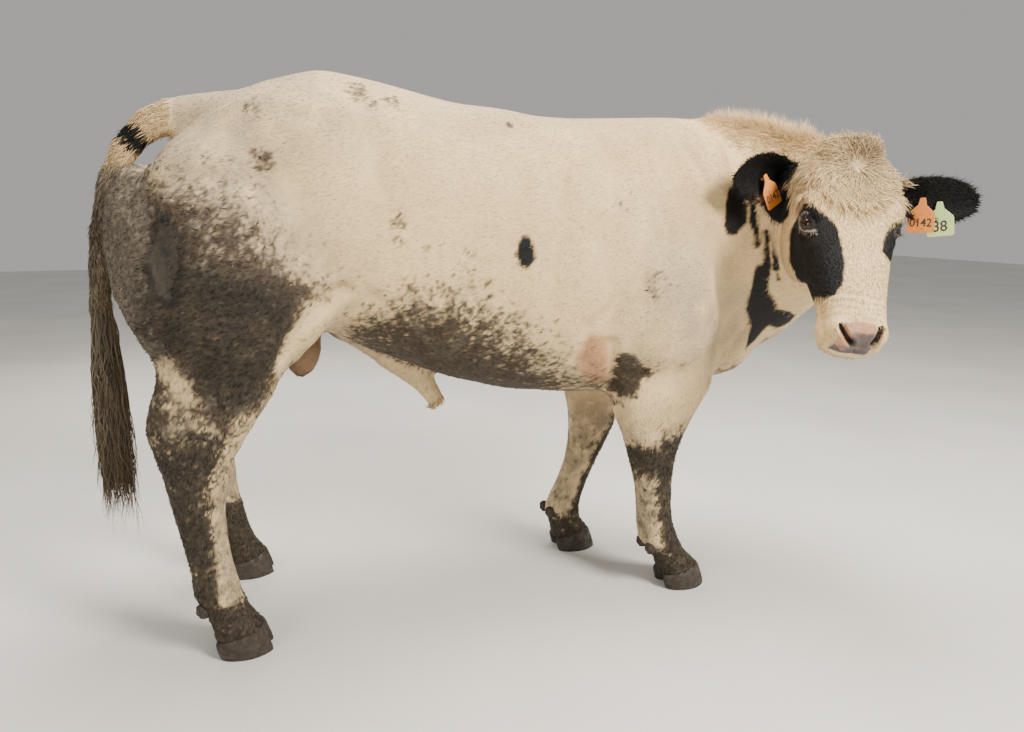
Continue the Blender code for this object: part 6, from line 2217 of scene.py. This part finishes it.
def interpolated(stations, height):
    """A leg's x, y and half depth at a height."""
    for upper, lower in zip(stations, stations[1:]):
        if lower.z <= height <= upper.z:
            share = (height - lower.z) / (upper.z - lower.z)
            return tuple(low + share * (high - low) for low, high in zip(lower[1:4], upper[1:4]))
    return stations[-1][1:4]


def spur(stations, side, inner):
    """One dewclaw, ribbed by its growth."""
    x, y, half_depth = interpolated(stations, DEWCLAW_HEIGHT)
    spot = (x - half_depth * 0.86, side * y + inner * 0.027, DEWCLAW_HEIGHT)
    mesh = ellipsoid(Muscle(spot, DEWCLAW_RADII, (0, -25, 0)), detail=3)
    points = corners_of(mesh)
    points += 0.0012 * normals_of(mesh) * np.sin(points[:, 2:3] * 900)
    put_corners(mesh, points)
    smooth(mesh)
    return mesh


def claws(shift, materials):
    """Two claws and two dewclaws on each foot."""
    for name, (stations, side) in LEGS.items():
        foot = Vector((stations[-1].x, side * stations[-1].y, 0))
        for inner, label in ((-side, "inner"), (side, "outer")):
            hoof = claw(foot, inner, len(name) + inner)
            smooth(hoof)
            hoof.set_sharp_from_angle(angle=math.radians(48))
            pieces = (("hoof", "claw", hoof), ("spur", "dewclaw", spur(stations, side, inner)))
            for piece, kind, mesh in pieces:
                node_name = f"{kind}_{name}_{label}"
                place(f"{piece}_{node_name}", mesh, materials["horn"], "horn_grey", shift, [node_name])


Tag = namedtuple("Tag", "out hang slot text")
TAGS = {
    "tag_orange_right": Tag((0.30, -0.94, 0.12), (0.52, -0.25, -0.82), "tag_orange", "0142"),
    "tag_orange_left": Tag((-0.70, -0.71, 0.0), (0.0, 0.0, -1.0), "tag_orange", "0142"),
    "tag_green_left": Tag((-0.68, -0.73, 0.0), (0.08, -0.08, -1.0), "tag_green", "38"),
}
TAG_PANEL = (0.062, 0.052)
FIGURE_WIDTH = TAG_PANEL[0] * 0.80
FIGURE_HEIGHT = 0.024


def tag_panel(solid):
    """A tag's solid with its corners eased."""
    made = bmesh.new()
    made.from_mesh(solid)
    bmesh.ops.remove_doubles(made, verts=made.verts, dist=1e-6)
    bmesh.ops.dissolve_limit(made, angle_limit=math.radians(1), verts=made.verts, edges=made.edges)
    corner = math.radians(35)
    edges = [edge for edge in made.edges if edge.is_manifold and edge.calc_face_angle() > corner]
    bmesh.ops.bevel(made, geom=edges, offset=0.0006, segments=2, affect="EDGES", clamp_overlap=True)
    mesh = finished(made)
    smooth(mesh)
    mesh.set_sharp_from_angle(angle=math.radians(40))
    return mesh


def tag_figures(solid, tag):
    """A tag's number, laid on the outer face of its panel."""
    out = Vector(tag.out).normalized()
    down = Vector(tag.hang)
    down = (down - out * down.dot(out)).normalized()
    across = down.cross(out)
    outs, downs, asides = (corners_of(solid) @ np.array(way) for way in (out, down, across))
    centre = (
        out * (outs.max() + 0.0002)
        + down * (downs.max() - TAG_PANEL[1] * 0.5)
        + across * ((asides.max() + asides.min()) / 2)
    )
    figures = printed(tag.text)
    facing = Matrix((across * -1, down * -1, out)).transposed().to_4x4()
    figures.transform(Matrix.Translation(centre) @ facing)
    return figures


def tags(frame, materials):
    """The tags, with plain numbers printed on their panels."""
    for name, tag in TAGS.items():
        solid = frame["nodes"][name].data.copy()
        place("panel_" + name, tag_panel(solid), materials[tag.slot], tag.slot, None, [name])
        place("print_" + name, tag_figures(solid, tag), materials["ink"], tag.slot)


def printed(text):
    """Flat figures as a thin mesh, centred on the origin and facing +Z."""
    curve = bpy.data.curves.new("figures", "FONT")
    curve.body = text
    curve.align_x, curve.align_y = "CENTER", "CENTER"
    curve.extrude = 0.004
    curve.offset = 0.012
    holder = bpy.data.objects.new("figures", curve)
    bpy.context.scene.collection.objects.link(holder)
    graph = bpy.context.evaluated_depsgraph_get()
    mesh = bpy.data.meshes.new_from_object(holder.evaluated_get(graph))
    bpy.data.objects.remove(holder, do_unlink=True)
    points = corners_of(mesh)
    size = points.max(axis=0) - points.min(axis=0)
    factor = min(FIGURE_WIDTH / size[0], FIGURE_HEIGHT / size[1])
    middle = (points.max(axis=0) + points.min(axis=0)) / 2
    put_corners(mesh, (points - middle) * (factor, factor * 1.15, factor))
    return mesh


FLOOR_REACH = 14
LIGHT_COLOUR = (1.0, 0.93, 0.82)
Lamp = namedtuple("Lamp", "spot target size power")
LAMPS = {
    "key": Lamp((2.2, -3.2, 3.3), (0.1, 0, 0.8), 1.6, 400),
    "fill": Lamp((-3.6, -2.8, 2.2), (-0.3, 0, 0.8), 2.6, 80),
    "top": Lamp((0.0, 0.6, 4.2), (0, 0, 0.9), 2.4, 240),
    "rear": Lamp((-1.5, 3.6, 2.8), (0, 0, 0.9), 2.4, 60),
}


def stage():
    """A plain pale floor under soft lights."""
    made = bmesh.new()
    ends = ((-1, -1), (1, -1), (1, 1), (-1, 1))
    made.faces.new([made.verts.new((FLOOR_REACH * x, FLOOR_REACH * y, 0)) for x, y in ends])
    floor = bpy.data.objects.new("floor", finished(made))
    floor.data.materials.append(floor_material())
    bpy.context.scene.collection.objects.link(floor)
    world = bpy.context.scene.world or bpy.data.worlds.new("studio")
    bpy.context.scene.world = world
    world.use_nodes = True
    backdrop = world.node_tree.nodes["Background"]
    backdrop.inputs["Color"].default_value = (0.86, 0.84, 0.80, 1)
    backdrop.inputs["Strength"].default_value = 0.50
    for name, lamp in LAMPS.items():
        light(name, lamp)


def light(name, lamp):
    """A round soft light that faces its target."""
    glow = bpy.data.lights.new(name, "AREA")
    glow.shape = "DISK"
    glow.size = lamp.size
    glow.energy = lamp.power
    glow.color = LIGHT_COLOUR
    obj = bpy.data.objects.new(name, glow)
    obj.location = lamp.spot
    obj.rotation_euler = (Vector(lamp.target) - Vector(lamp.spot)).to_track_quat("-Z", "Y").to_euler()
    bpy.context.scene.collection.objects.link(obj)


def camera(shift):
    """The camera stands and looks as it did for the photograph."""
    level = Vector((math.sin(CAMERA_HEADING), math.cos(CAMERA_HEADING), 0))
    axis = level * math.cos(CAMERA_TILT) - Vector((0, 0, math.sin(CAMERA_TILT)))
    lens = bpy.data.cameras.new("camera")
    lens.lens = CAMERA_LENS
    lens.sensor_width = 36
    obj = bpy.data.objects.new("camera", lens)
    obj.location = CAMERA_PLACE + shift
    obj.rotation_euler = axis.to_track_quat("-Z", "Y").to_euler()
    bpy.context.scene.collection.objects.link(obj)
    bpy.context.scene.camera = obj


FLESH = [
    "torso", "neck", "head", "tail", "tail_switch", "scrotum", "ear_right", "ear_left",
    "leg_hind_right", "leg_hind_left", "leg_fore_right", "leg_fore_left",
]


def dress_skin(mesh, shift, materials):
    """Sinks the skin by the coat's depth, paints it and puts a copy in place of the flesh."""
    points, normals = corners_of(mesh), normals_of(mesh)
    coat = coat_of(points, normals)
    clumps = fractal(points, 0.035, 61, 3)
    rear = soft_step(-points[:, 0], 0.5, 0.7) * soft_step(points[:, 2], 0.1, 0.3)
    lifted = MUD_DEPTH * coat.mud * soft_step(clumps, -0.2, 0.5) * (0.35 + 0.65 * rear)
    depth = COAT_DEPTH * (1 - coat.bare) * soft_step(eye_gap(points), 0.02, 0.05) * ~is_ear(points)
    depth += POLL_COAT_DEPTH * poll_hair(points) * (1 - coat.bare)
    put_corners(mesh, points + normals * (lifted - depth)[:, None])
    low = soft_step(0.75 - points[:, 2], 0, 0.25) * (1 - of_head(points))
    finish = np.stack([coat.mud, coat.bare, low, np.ones(len(points))], 1)
    paint(mesh, with_alpha(coat.colour), finish)
    smooth(mesh)
    mesh.name = "hide"
    place("hide", mesh.copy(), materials["skin"], "coat_white", shift, FLESH)


def all_materials():
    return {
        "skin": skin_material(),
        "hair": hair_material("hair_short", 0.62, 0.02),
        "hair_long": hair_material("hair_long", 0.52, 0.08),
        "hair_dark": hair_material("hair_dark", 0.50, 0.02),
        "horn": horn_material(),
        "eye": eye_material(),
        "cornea": cornea_material(),
        "tag_orange": plastic_material("tag_orange_plastic", (0.68, 0.22, 0.025)),
        "tag_green": plastic_material("tag_green_plastic", (0.48, 0.66, 0.26)),
        "ink": ink_material(),
    }


def main():
    """Dresses the frame: the skin, its coat, the eyes, claws and tags, then the camera and the stage."""
    for obj in list(bpy.data.objects):
        bpy.data.objects.remove(obj, do_unlink=True)
    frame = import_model()
    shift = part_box("claw_hind_right_inner")[0] - FOOT_MARK
    shift.z = 0
    materials = all_materials()
    skin = whole_skin()
    dress_skin(skin, shift, materials)
    pelt = Pelt(skin, Unwrap(skin))
    triangles = sum(grow(style, pelt, shift, materials) for style in STYLES)
    print("triangles of the coat", triangles, "of the skin", 2 * len(skin.polygons))
    eyes(shift, materials)
    lashes(shift, materials)
    claws(shift, materials)
    tags(frame, materials)
    camera(shift)
    stage()


main()
